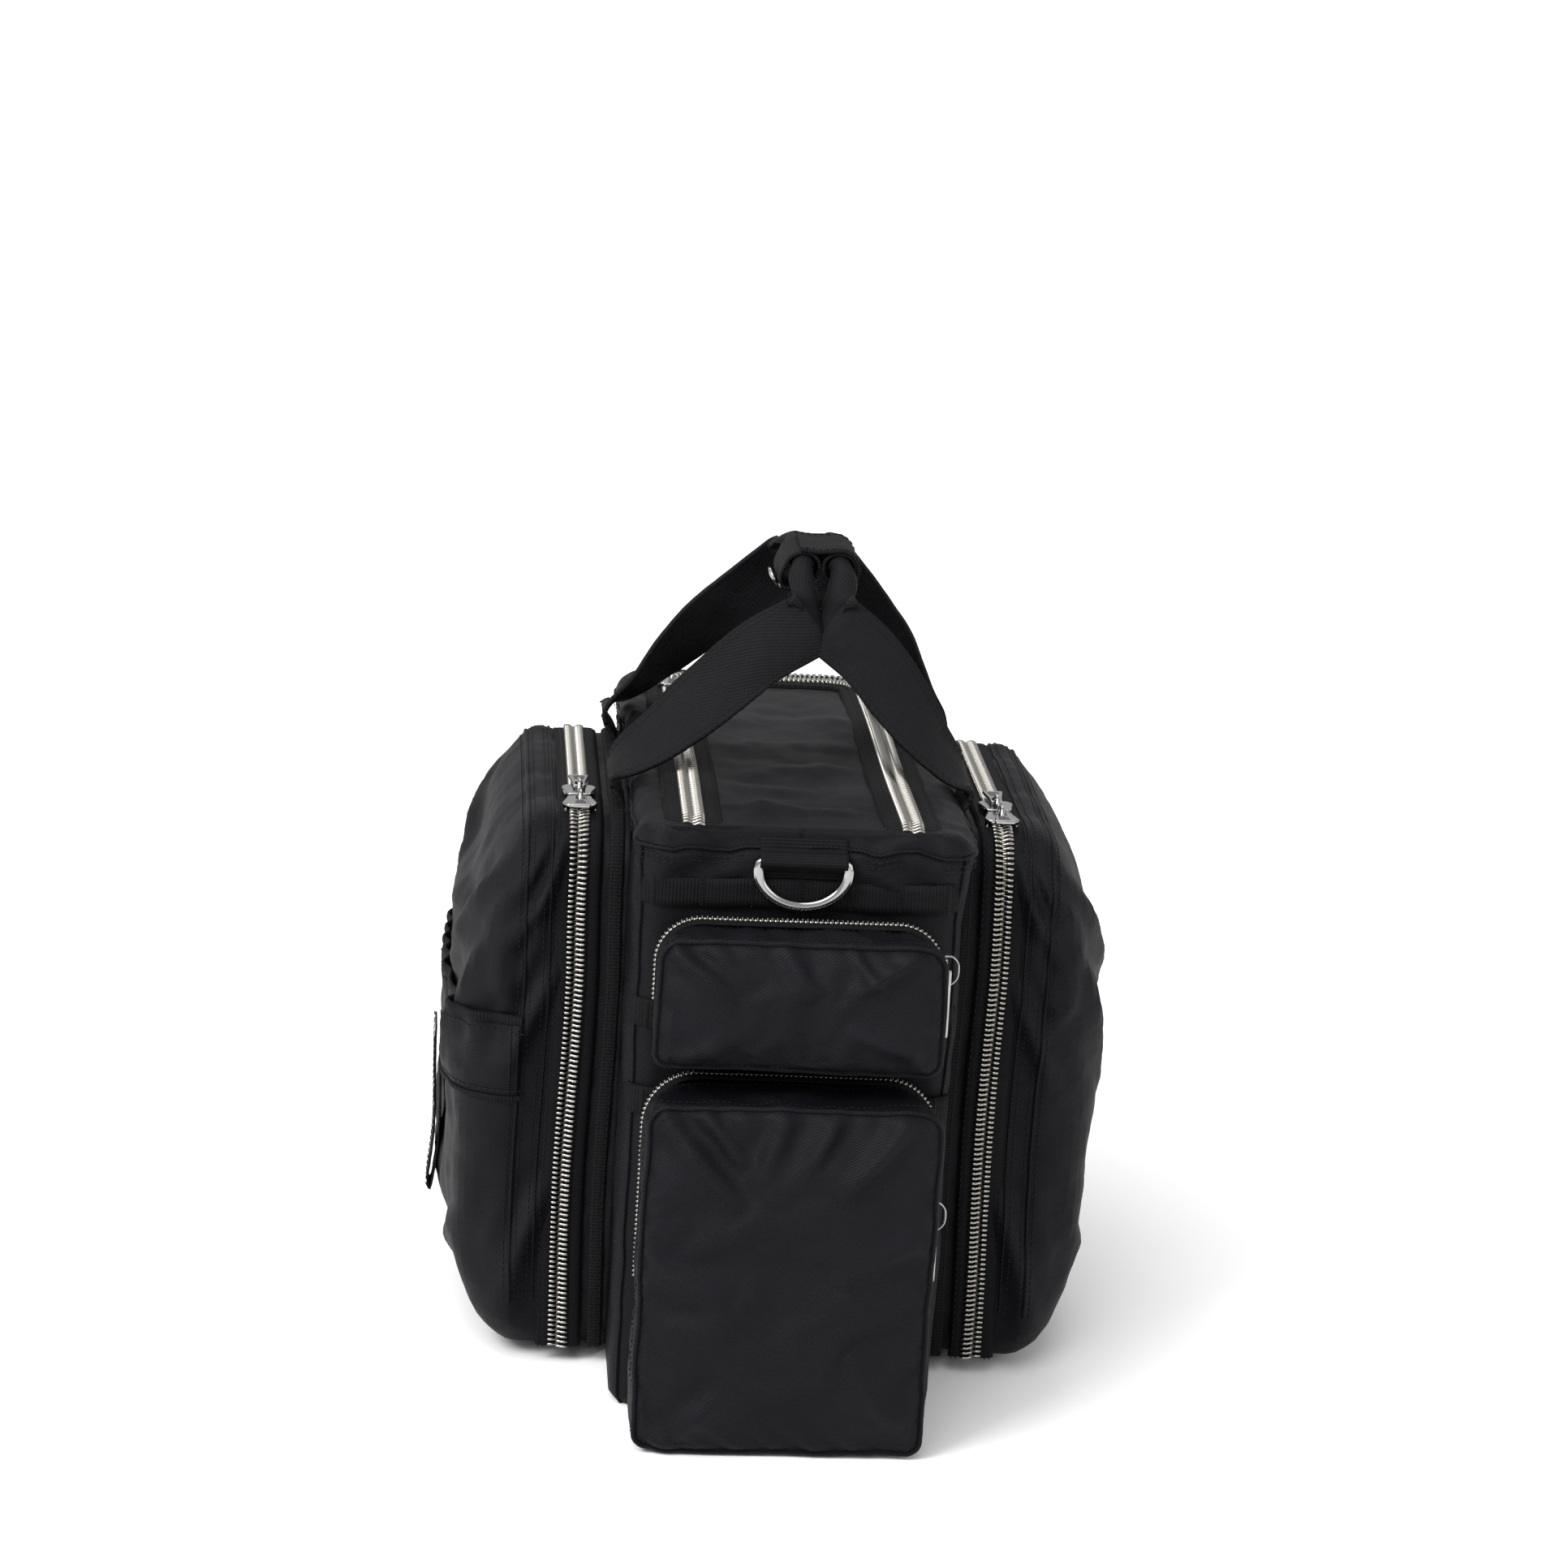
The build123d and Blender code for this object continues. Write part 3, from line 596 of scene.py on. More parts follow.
def relax(verts, faces, pinned, grow, pressure, cap, frames=18):
    """Lets the cloth settle: it is a little larger than its frame and wrinkles between its seams.

    pinned holds a weight for every vertex, and no point moves further than cap millimetres.
    """
    mesh = bpy.data.meshes.new("relaxing")
    mesh.from_pydata((verts * MM).tolist(), [], faces.tolist())
    thing = bpy.data.objects.new("relaxing", mesh)
    bpy.context.scene.collection.objects.link(thing)
    group = thing.vertex_groups.new(name="pin")
    for level in np.unique(np.round(pinned, 2)):
        if level > 0:
            group.add(np.where(np.round(pinned, 2) == level)[0].tolist(), float(level), "REPLACE")
    cloth = thing.modifiers.new("cloth", "CLOTH")
    settings = cloth.settings
    settings.quality = 5
    settings.mass = 0.15
    settings.tension_stiffness = 12
    settings.compression_stiffness = 8
    settings.shear_stiffness = 4
    settings.bending_stiffness = 2.5
    settings.air_damping = 3
    settings.shrink_min = -grow
    settings.use_pressure = pressure > 0
    settings.uniform_pressure_force = pressure
    settings.effector_weights.gravity = 0
    settings.vertex_group_mass = "pin"
    cloth.collision_settings.use_collision = False
    cloth.collision_settings.use_self_collision = False
    cloth.point_cache.frame_start = 1
    cloth.point_cache.frame_end = frames + 1
    scene = bpy.context.scene
    for frame_number in range(1, frames + 1):
        scene.frame_set(frame_number)
    result = thing.evaluated_get(bpy.context.evaluated_depsgraph_get()).data
    moved = np.zeros(len(verts) * 3)
    result.vertices.foreach_get("co", moved)
    scene.frame_set(1)
    bpy.data.objects.remove(thing)
    bpy.data.meshes.remove(mesh)
    shift = moved.reshape(-1, 3) / MM - verts
    size = np.linalg.norm(shift, axis=1, keepdims=True)
    return verts + shift * np.minimum(1, cap / np.maximum(size, 1e-6))


def skin(name, verts, normals, uv, parts, mat, thick):
    """A shell as one cloth object that nothing carries yet, and a tree for finding its surface."""
    sides, face = parts
    faces = np.concatenate([facing(verts, sides, normals), facing(verts, face, normals)])
    tree = BVHTree.FromPolygons(verts.tolist(), faces.tolist())
    verts, faces, uv = thicken(verts, faces, uv, thick)
    return publish(name, verts, faces, mat, uv), tree


def hug(points, outs, tree, lift):
    """Points moved along their outward directions onto a skin, a little proud of it."""
    rows = []
    for p, out in zip(points, outs):
        hit = tree.ray_cast(Vector(p + out * 26), Vector(-out), 60)
        rows.append(np.array(hit[0]) + out * lift if hit[0] is not None else p)
    return np.array(rows)


SKINS = {}


def taper(z, side):
    """How wide a pocket is at a height, as a share of its widest: it closes in above and below."""
    high = np.clip((z - 150) / (POCKET_HI[2] - 150), 0, 1)
    low = np.clip((70 - z) / 70, 0, 1)
    if side < 0:
        return 1 - 0.42 * high**2.2 - 0.32 * low**1.8
    return 1 - 0.44 * high**2.4 - 0.30 * low**1.6


def pocket_shell(side, name):
    """The pocket's cloth cover and base in one skin."""
    counts = (50, 74, 12)
    back = rounded_loop(*POCKET_BOX, POCKET_R, POCKET_CORNER, counts)
    deep = OUT_X - POCKET_CHAIN_X - POCKET_R
    local, turned, uv, parts, total = shell(back, back, counts, np.linspace(0.6, deep, 12), POCKET_R)
    verts = local[:, [2, 0, 1]] + np.array([POCKET_CHAIN_X, 0, 0])
    normals = turned[:, [2, 0, 1]]
    creases = pocket_folds(verts, normals)
    verts = verts + normals * (pocket_height(verts, normals) + 0.6 * creases)[:, None]
    verts[:, 0] = POCKET_CHAIN_X + (verts[:, 0] - POCKET_CHAIN_X) * taper(verts[:, 2], side)
    verts[:, 0] *= side
    normals = normals * np.array([side, 1, 1])
    pinned = np.zeros(len(verts))
    pinned[: 3 * total] = 1.0
    pinned[3 * total : 5 * total] = 0.3
    faces = np.concatenate([facing(verts, part, normals) for part in parts])
    verts = relax(verts, faces, pinned, 0.028, 0.5, 7.0) + normals * (0.6 * creases)[:, None]
    cloth, tree = skin(f"{name}_pocket_skin", verts, normals, uv, parts, NYLON, 1.6)
    SKINS[name] = tree
    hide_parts(f"{name}_pocket_base", f"{name}_pocket_cover")
    hinge_blend(cloth)
    return cloth


def hinge_blend(thing):
    """Bakes the piece's placement into its mesh."""
    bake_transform(thing)


def pocket_path(side, x, proud, foot, step=2.0):
    """The pocket's outline at a distance across the bag: points and outward directions."""
    y0, y1 = POCKET_LO[1] - proud, POCKET_HI[1] + proud
    flat, outs = arch_curve(y0, y1, foot, POCKET_HI[2] + proud, POCKET_CORNER + proud, step)
    path = np.stack([np.full(len(flat), side * x), flat[:, 0], flat[:, 1]], -1)
    out = np.stack([np.zeros(len(outs)), outs[:, 0], outs[:, 1]], -1)
    sway = 0.9 * np.sin(path[:, 2] / 31.0 + side) * np.clip((POCKET_HI[2] - 25 - path[:, 2]) / 40, 0, 1)
    path[:, 0] += side * sway
    return path, out


def pocket_details(side, name):
    """Gusset, binding, tapes, teeth and topstitching of one side pocket."""
    lateral = np.array([side, 0.0, 0.0])
    flat, outs = rounded_loop(*POCKET_BOX, POCKET_R, POCKET_CORNER, 2.5)
    xs = np.linspace(BODY_HI[0] - 0.5, POCKET_CHAIN_X - 0.5, 14)
    rows = sheet(xs[None], flat[:, None, 0], flat[:, None, 1])
    pucker = 0.55 * swell(rows, 9, 11 + side) + 0.8 * swell(rows, 40, 12 + side)
    sag = -1.6 * np.sin(math.pi * (xs - xs[0]) / (xs[-1] - xs[0]))[None] + pucker
    rows[..., 1] += outs[:, None, 0] * sag
    rows[..., 2] += outs[:, None, 1] * sag
    rows[..., 0] *= side
    gusset = lattice(f"{name}_pocket_gusset_cloth", rows, NYLON, "body", 1.2, close_u=True)
    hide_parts(f"{name}_pocket_gusset")

    path, out = pocket_path(side, BINDING_X, 0.0, POCKET_FOOT_Z)
    profile = [(-3.2, -0.6), (-3.2, 1.1), (-2.4, 1.7), (0, 2.0), (2.4, 1.7), (3.2, 1.1), (3.2, -0.6)]
    points = np.stack([path + lateral * a + out * b for a, b in profile], 1)
    binding = lattice(f"{name}_pocket_webbing_binding", points, WEBBING, "body")
    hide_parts(f"{name}_pocket_binding")
    edges = [path + lateral * a + out * 1.75 for a in (-2.0, 2.0)]
    stitches(f"{name}_binding_stitches", edges, [out, out], "body")

    chain, out = pocket_path(side, POCKET_CHAIN_X, 0.0, POCKET_FOOT_Z, 1.1)
    wide = np.broadcast_to(lateral, chain.shape)
    for row, sign, node in (("inner", -1, "body"), ("outer", 1, None)):
        strip = ribbon(chain + out * 0.9, out, wide, sign * 0.5, sign * 10.0, 6, 0.35)
        strip[:, -1] -= out * 0.9
        tape = lattice(f"{name}_{row}_tape", strip, TAPE, node, 0.5)
        row_teeth = teeth_row(
            f"{name}_{row}_teeth_row", chain + out * 1.0, out, lateral * sign, node, TEETH_PITCH, 4.7, (sign + 1) // 2
        )
        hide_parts(f"{name}_zip_{row}_teeth")
        lines = [chain + wide * sign * d + out * 1.0 for d in (6.4, 8.6)]
        seam = stitches(f"{name}_{row}_tape_stitches", lines, [out, out], node)
        if node is None:
            for thing in (tape, row_teeth, seam):
                hinge_blend(thing)

    for x, radius in SEAMS:
        seam_path, out = pocket_path(side, x, 0.0, POCKET_SPLIT + 2)
        line = hug(seam_path, out, SKINS[name], 0.1)
        tube(f"{name}_seam_{int(x)}", line, radius, NYLON, f"{name}_pocket", hint=(side, 0, 0))
        rows = [hug(seam_path + lateral * d, out, SKINS[name], 0.15) for d in (-2.6, 2.6)]
        stitches(f"{name}_seam_{int(x)}_stitches", rows, [out, out], f"{name}_pocket")


for SIDE, NAME in ((-1, "left"), (1, "right")):
    pocket_shell(SIDE, NAME)
    pocket_details(SIDE, NAME)


# --- body, lid and top zip ------------------------------------------------------------------------
EDGE_R = 8.0
BODY_CORNER = 12.0
ACROSS, ALONG, TURN = 44, 74, 8  # points on a short side, a long side and a corner
COUNTS = ACROSS, ALONG, TURN
BODY_BOX = BODY_LO[0], BODY_HI[0], BODY_LO[1], BODY_HI[1]
OUTER, OUTER_OUT = rounded_loop(*BODY_BOX, BODY_CORNER, BODY_CORNER, COUNTS)
INNER, _ = rounded_loop(-CHAIN_HALF, CHAIN_HALF, FLAP_LO[1], CHAIN_FAR, 1.0, CHAIN_CORNER, COUNTS)
GAP = np.linalg.norm(OUTER - INNER, axis=1)
EDGE = np.minimum(EDGE_R, 0.9 * GAP)


RIM_POINTS = upright(OUTER)
SEAM_WAVE = 2.3 * swell(RIM_POINTS, 24, 36) + 1.3 * swell(RIM_POINTS, 12, 39)
SEAM_WAVE -= 2.6 * np.exp(-((OUTER[:, 0] / 24) ** 2)) * np.abs(OUTER_OUT[:, 1])


def body_sag(points, out, z):
    """Soft unevenness of the body's upright cloth, strongest under the top edge."""
    share = np.clip(z / BODY_TOP, 0, 1)
    near_top = np.exp(-(((z - BODY_TOP + 8) / 16) ** 2))
    near_top = near_top * (1 - 0.65 * np.exp(-((points[..., 0] / 30) ** 4)))  # the ring's tab holds it
    lift = 1.5 * swell(points, 55, 31) + 0.6 * swell(points, 18, 32) + 1.6 * near_top * swell(points, 17, 33)
    lift += 1.9 * near_top * np.sin(points[..., 0] / 4.6 + 1.2 * np.sin(points[..., 0] / 13))
    lift += 1.8 * near_top
    front = np.abs(out[..., 1]) * np.ones_like(z)
    for side in (-1, 1):
        for start, end, width, rise in (
            ((15, 253), (44, 240), 4.0, 3.2),
            ((14, 249), (26, 236), 3.0, 2.2),
            ((40, 256), (62, 246), 4.0, 2.4),
        ):
            lift += front * fold(side * points[..., 0], z, start, end, width, rise)
    return lift * np.clip(share * 6, 0, 1)


def body_walls():
    """Upright cloth round the bag in four panels, and the seams between them."""
    levels = np.concatenate([[0.3, 1.2, 4], np.linspace(9, BODY_TOP - 8, 62)])
    heights = levels[None] * ((BODY_TOP - EDGE + SEAM_WAVE) / (BODY_TOP - 8))[:, None]
    inset = np.where(heights < 6, (6 - heights) ** 2 / 9, 0)
    plan = OUTER[:, None] - OUTER_OUT[:, None] * inset[..., None]
    grid = sheet(plan[..., 0], plan[..., 1], heights)
    out = upright(OUTER_OUT)[:, None]
    grid = grid + out * body_sag(grid, out, heights)[..., None]
    total = len(OUTER)
    first = ACROSS // 2 + TURN // 2  # the seams lie in the middle of the corners
    second, third = first + TURN + ALONG, first + 2 * TURN + ALONG + ACROSS
    front = np.r_[total - first : total, 0 : first + 1]
    right, rear = np.arange(first, second + 1), np.arange(second, third + 1)
    left = np.arange(third, total - first + 1)
    for name, rows, node in (
        ("front_panel_cloth", front, "front_panel"),
        ("rear_panel_cloth", rear, "rear_panel"),
        ("right_wall_cloth", right, None),
        ("left_wall_cloth", left, "body_wrap"),
    ):
        panel = lattice(name, grid[rows], NYLON, "body", 2.0, out=out[rows])
        if node:
            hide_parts(node)
    seams = {"front_left": front[0], "front_right": front[-1], "rear_right": rear[0], "rear_left": rear[-1]}
    for name, row in seams.items():
        tube(f"{name}_seam_piping", grid[row] + out[row] * 0.1, 0.8, NYLON, "body", hint=(1, 0, 0))
    return grid


WALLS = body_walls()


def bottom():
    """The cloth under the bag."""
    grid = sheet(np.linspace(-64, 64, 30)[:, None], np.linspace(-132, 132, 56), 0)
    grid[..., 2] = 0.4 + 0.25 * swell(grid, 40, 35)
    lattice("bottom_cloth", grid, NYLON, "body", 1.2, out=(0, 0, -1.0))


bottom()


def top_frame():
    """The cloth round the lid, which rolls over the bag's upper edge."""
    steps = np.concatenate([np.linspace(0, 1, 12) ** 1.6 * 0.34, np.linspace(0.4, 1, 14)])
    grid = np.zeros((len(OUTER), len(steps), 3))
    across = steps[None] * GAP[:, None]
    inner_pull = np.minimum(across, EDGE[:, None])
    grid[..., :2] = OUTER[:, None] + (INNER - OUTER)[:, None] * steps[None, :, None]
    grid[..., 2] = BODY_TOP - EDGE[:, None] + np.sqrt(EDGE[:, None] ** 2 - (EDGE[:, None] - inner_pull) ** 2)
    grid[..., 2] += SEAM_WAVE[:, None] * np.clip(1 - steps * 2.5, 0, 1)[None]
    fade = np.clip(steps * 5, 0, 1)[None]
    base_out = upright(OUTER_OUT)
    wall_lift = ((WALLS[:, -1] - RIM_POINTS) * base_out).sum(1)
    grid += base_out[:, None] * (wall_lift[:, None] * np.clip(1 - steps * 4, 0, 1)[None])[..., None]
    ripple = 1.7 * swell(grid, 24, 37) + 0.7 * swell(grid, 11, 38)
    grid[..., 2] += ripple * fade * np.clip((1 - steps) * 5, 0, 1)[None] * np.clip(GAP / 9, 0, 1)[:, None]
    panel = lattice("top_frame_cloth", grid, NYLON, "body", 1.6, close_u=True, out=(0, 0, 1.0))
    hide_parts("top_frame")
    rim = WALLS[:, -1] + base_out * 0.2
    tube("top_edge_seam", rim, 0.8, NYLON, "body", closed=True)
    lines = [rim - np.array([0, 0, 3.2]), rim - np.array([0, 0, 5.6])]
    stitches("top_edge_stitches", lines, [base_out, base_out], "body")


top_frame()


def lid_height(x, y):
    """The lid's cloth: crowned a little, with soft folds across it."""
    share = (y - FLAP_LO[1]) / (FLAP_HI[1] - FLAP_LO[1])
    edge = np.clip(1 - (np.abs(x) / (CHAIN_HALF - 6)) ** 4, 0, 1)
    edge = edge * np.clip(share * 12, 0, 1) * np.clip((1 - share) * 9, 0, 1)
    spots = np.stack([x, y, np.zeros_like(x)], -1)
    height = 2.4 * swell(spots, 48, 41) + 0.7 * swell(spots, 17, 42)
    for start, end, width, rise in (
        ((-30, -96), (24, -104), 8.0, 1.8),
        ((-34, -60), (10, -72), 7.0, 1.6),
        ((-10, -38), (36, -30), 9.0, 1.6),
        ((-34, 4), (30, 14), 12.0, 2.0),
        ((-30, 56), (34, 50), 11.0, 1.8),
        ((-26, -120), (-12, -86), 6.0, 1.4),
    ):
        height += 1.5 * fold(x, y, start, end, width, rise)
    return height * edge


def lid():
    """The lid panel, which the U-shaped zip lets swing up."""
    ys = np.linspace(FLAP_LO[1], CHAIN_FAR - 0.6, 104)
    over = np.clip(ys - (CHAIN_FAR - CHAIN_CORNER), 0, CHAIN_CORNER)
    half = CHAIN_HALF - 0.5 - (CHAIN_CORNER - np.sqrt(CHAIN_CORNER**2 - over**2))
    xs = np.linspace(-1, 1, 40)[None] * half[:, None]
    grid = np.stack([xs, np.broadcast_to(ys[:, None], xs.shape), np.zeros_like(xs)], -1)
    grid[..., 2] = BODY_TOP + lid_height(grid[..., 0], grid[..., 1])
    panel = lattice("lid_cloth", grid, NYLON, "flap", 1.8, out=(0, 0, 1.0))
    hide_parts("flap_panel")


lid()


def top_zip():
    """Teeth, tapes and topstitching of the U-shaped zip."""
    flat, outs = arch_curve(-CHAIN_HALF, CHAIN_HALF, FLAP_LO[1], CHAIN_FAR, CHAIN_CORNER, 1.1)
    wobble = 0.3 * np.sin(flat[:, 1] / 29.0) * np.clip((CHAIN_FAR - 20 - flat[:, 1]) / 30, 0, 1)
    flat = flat + outs * wobble[:, None]
    chain = np.column_stack([flat, np.full(len(flat), BODY_TOP + 0.5)])
    away = upright(outs)
    up = np.tile([0.0, 0.0, 1.0], (len(chain), 1))
    dip = np.clip(1 - (chain[:, 1] - FLAP_LO[1]) / 10, 0, 1) ** 2
    chain[:, 2] -= 2.0 * dip
    for row, sign, node in (("frame", 1, "body"), ("flap", -1, "flap")):
        strip = ribbon(chain + up * 0.4, up, away, sign * 0.5, sign * 12.5, 7, 0.5)
        strip[:, -1] -= up * 0.7
        lattice(f"top_{row}_tape", strip, TAPE, node, 0.6, out=(0, 0, 1.0))
        teeth = teeth_row(
            f"top_{row}_teeth_row", chain + up * 0.5, up, away * sign, node, TEETH_PITCH, 4.9, (sign + 1) // 2
        )
        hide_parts(f"top_zip_{row}_teeth")
        lines = [chain + away * sign * d + up * lift for d, lift in ((7.0, 0.95), (11.2, 0.7))]
        stitches(f"top_{row}_tape_stitches", lines, [up, up], node)


top_zip()


# --- pouches on the front end ---------------------------------------------------------------------
POUCH_ZIP_Y = (cad("upper_zip_front_teeth")[1][1] + cad("upper_zip_back_teeth")[0][1]) / 2
POUCH_ROLL = 5.0
POUCH_FOOT_Y, POUCH_BACK_Y = -139.6, -140.6  # where the gusset ends, and the back's lining


def pouch_map(flat, depth):
    """Points of a pouch's own plane at a depth in front of its zip, in the bag's frame."""
    return np.stack([flat[..., 0], POUCH_ZIP_Y - 0.4 - depth, flat[..., 1]], -1)


def pouch_height(points, normals, half, low, high):
    """How far a pouch's cloth stands off its plain shape."""
    x, z = points[..., 0], points[..., 2]
    front = np.clip(-normals[..., 1], 0, 1)
    side = 1 - front
    share_x, share_z = (x + half) / (2 * half), (z - low) / (high - low)
    height = front * 4.6 * pillow(share_x, share_z, 3.0)
    height += front * (2.2 * swell(points, 52, 51) + 0.35 * swell(points, 17, 52))
    height += side * (0.6 * swell(points, 30, 53) + 0.35 * swell(points, 10, 54) - 0.6)
    edge = np.minimum(np.minimum(x + half, half - x), np.minimum(z - low, high - z))
    pucker = np.sin((x + 0.7 * z) / 2.6 + 1.5 * np.sin(z / 17)) * np.exp(-(((edge - 7) / 5) ** 2))
    return height + front * 0.45 * pucker


def pouch(name, corner, folds, lean):
    """One pouch: skin, gusset, lining, zip, piping and topstitching."""
    base_lo, base_hi = cad(f"{name}_pouch_base")
    half, low, high = base_hi[0], base_lo[2], cad(f"{name}_pouch_cover")[1][2]
    split, front_y = base_hi[2], base_lo[1]
    low = max(low, 1.5)

    def bend(thing):
        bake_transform(thing)

    counts = (52, max(18, int((high - low) / 2.3)), 12)
    back_loop = rounded_loop(-half, half, low, high, POUCH_ROLL + 1, corner, counts)
    front_loop = rounded_loop(-half - 1.5, half + lean, low, high - 1.0, POUCH_ROLL + 2, POUCH_ROLL + 5, counts)
    outline, outs = back_loop
    deep = (POUCH_ZIP_Y - 0.4) - front_y - POUCH_ROLL
    local, turned, uv, parts, total = shell(back_loop, front_loop, counts, np.linspace(0.3, deep, 10), POUCH_ROLL)
    points = pouch_map(local[:, :2], local[:, 2])
    normals = np.stack([turned[:, 0], -turned[:, 2], turned[:, 1]], -1)
    creases = np.zeros(len(points))
    facing_front = np.clip(-normals[:, 1], 0, 1)
    for start, end, width, rise in folds:
        creases += 1.7 * facing_front * fold(points[:, 0], points[:, 2], start, end, 0.85 * width, rise)
    points = points + normals * (pouch_height(points, normals, half, low, high) + creases)[:, None]
    pinned = np.zeros(len(points))
    pinned[: 2 * total] = 1.0
    pinned[11 * total : 14 * total] = 0.92
    faces = np.concatenate([facing(points, part, normals) for part in parts])
    points = relax(points, faces, pinned, 0.016, 0.45, 5.0) + normals * creases[:, None]
    points[:, 2] = np.maximum(points[:, 2], 0.3)
    cloth, _ = skin(f"{name}_pouch_skin", points, normals, uv, parts, NYLON, 1.4)
    rings = [points[k * total : (k + 1) * total] for k in range(17)]
    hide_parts(f"{name}_pouch_base", f"{name}_pouch_cover")
    bend(cloth)

    around = np.column_stack([outs[:, 0], np.zeros(len(outs)), outs[:, 1]])
    forward = np.array([0.0, -1.0, 0.0])
    piping_line = rings[12] + unit(around + forward) * 0.5
    piping = tube(f"{name}_pouch_piping", piping_line, 1.15, NYLON, None, closed=True, hint=(0, -1, 0))
    bend(piping)
    beside = rings[8] + around * 0.15
    rim = rings[2] + around * 0.15
    seam = stitches(f"{name}_pouch_stitches", [beside, rim], [around, around], None, 2.6, 1.8, 0.2)
    bend(seam)

    depths = np.linspace(POUCH_ZIP_Y + 0.4, POUCH_FOOT_Y, 7)
    rows = sheet(outline[:, None, 0], depths[None], outline[:, None, 1])
    rows += around[:, None] * (0.45 * swell(rows, 11, 56) - 0.9)[..., None]
    gusset = lattice(f"{name}_pouch_gusset_cloth", rows, NYLON, "body", 1.0, close_u=True, out=around[:, None])
    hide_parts(f"{name}_pouch_gusset")

    back = sheet(np.linspace(-half + 3, half - 3, 30)[:, None], 0, np.linspace(low + 3, high - 3, 30))
    square = np.clip(np.abs(back[..., 0]) - (half - corner), 0, None)
    raised = np.clip(back[..., 2] - (high - corner), 0, None)
    past = np.hypot(square, raised)
    shrink = np.where(past > corner - 3, (corner - 3) / np.maximum(past, 1e-6), 1)
    drawn_in = np.sign(back[..., 0]) * (np.abs(back[..., 0]) - square * (1 - shrink))
    back[..., 0] = np.where(raised > 0, drawn_in, back[..., 0])
    back[..., 2] -= raised * (1 - shrink)
    back[..., 1] = POUCH_BACK_Y + 0.3 * swell(back, 20, 57)
    lining = lattice(f"{name}_pouch_lining", back, LINING, "body", 0.8, out=(0, -1.0, 0))
    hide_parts(f"{name}_pouch_back")

    flat, turned = arch_curve(-half, half, split, high, corner, 0.9)
    sway = 0.5 * np.sin(flat[:, 1] / 19.0 + flat[:, 0] / 23.0)
    out = np.column_stack([turned[:, 0], np.zeros(len(turned)), turned[:, 1]])
    chain = np.column_stack([flat[:, 0], POUCH_ZIP_Y + sway, flat[:, 1]])
    for row, sign in (("front", -1), ("back", 1)):
        lateral = np.tile([0.0, float(sign), 0.0], (len(chain), 1))
        strip = ribbon(chain + out * 0.7, out, lateral, 0.4, 5.6, 5, 0.25)
        strip[:, -1] -= out * 0.8
        tape = lattice(f"{name}_{row}_zip_tape", strip, TAPE, None if sign < 0 else "body", 0.4)
        teeth = teeth_row(
            f"{name}_{row}_teeth_row", chain + out * 0.8, out, lateral, None if sign < 0 else "body", FINE_PITCH, 2.2,
            (sign + 1) // 2, height=1.4, past=0.4, thick=0.5,
        )
        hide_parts(f"{name}_zip_{row}_teeth")
        if sign < 0:
            bend(tape)
            bend(teeth)


UPPER_FOLDS = (
    ((-52, 220), (-30, 205), 4.5, 1.8),
    ((48, 219), (22, 204), 5.0, 1.8),
    ((-8, 222), (6, 206), 5.0, 1.2),
    ((20, 222), (34, 208), 3.6, 1.3),
    ((-50, 175), (-28, 184), 6.0, 1.0),
    ((50, 176), (20, 186), 6.0, 1.2),
)
LOWER_FOLDS = (
    ((-52, 150), (-22, 118), 6.0, 2.2),
    ((-36, 153), (-20, 134), 4.0, 1.2),
    ((50, 152), (24, 120), 6.5, 2.2),
    ((20, 153), (6, 130), 5.0, 1.5),
    ((-2, 153), (-12, 126), 6.0, 1.3),
    ((-52, 8), (-24, 34), 8.0, 1.3),
    ((52, 10), (26, 44), 8.0, 1.4),
    ((-56, 84), (-26, 78), 9.0, 1.1),
    ((54, 96), (30, 84), 8.0, 1.2),
)
pouch("upper", 18.0, UPPER_FOLDS, 0.8)
pouch("lower", 22.0, LOWER_FOLDS, 0.6)


# --- webbing on the front end, ring tabs and strap feet -------------------------------------------
def webbing_rows():
    """Rows of ribbed webbing, tacked so that they make small loops."""
    low, high = cad("webbing_rows")
    first = None
    for index, z in enumerate((141.0, 180.0, high[2] - 6)):
        xs, across = np.linspace(low[0] - 5, high[0] + 5, 160), np.linspace(-6.2, 6.2, 5)
        heights = z + across[None] + 0.5 * np.sin(xs / 13 + index)[:, None]
        bulge = 0.9 * np.abs(np.sin((xs - low[0]) / (high[0] - low[0]) * math.pi * 6))
        corner = np.clip(np.abs(xs) - (BODY_HI[0] - BODY_CORNER), 0, BODY_CORNER - 0.1)
        front = high[1] - 1.6 - bulge + BODY_CORNER - np.sqrt(BODY_CORNER**2 - corner**2)
        grid = sheet(xs[:, None], front[:, None], heights)
        strip = lattice(f"webbing_row_{index + 1}", grid, WEBBING, "body", 1.3, out=(0, -1.0, 0))
        first = first or strip
        tacks = np.linspace(low[0] + 1.5, high[0] - 1.5, 7)
        lines = [[(x, high[1] - 2.0, z - 5.6), (x, high[1] - 2.0, z + 5.6)] for x in tacks]
        stitches(f"webbing_tacks_{index + 1}", lines, [(0, -1, 0)] * len(lines), "body", 1.5, 1.3, 0.3)
    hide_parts("webbing_rows")


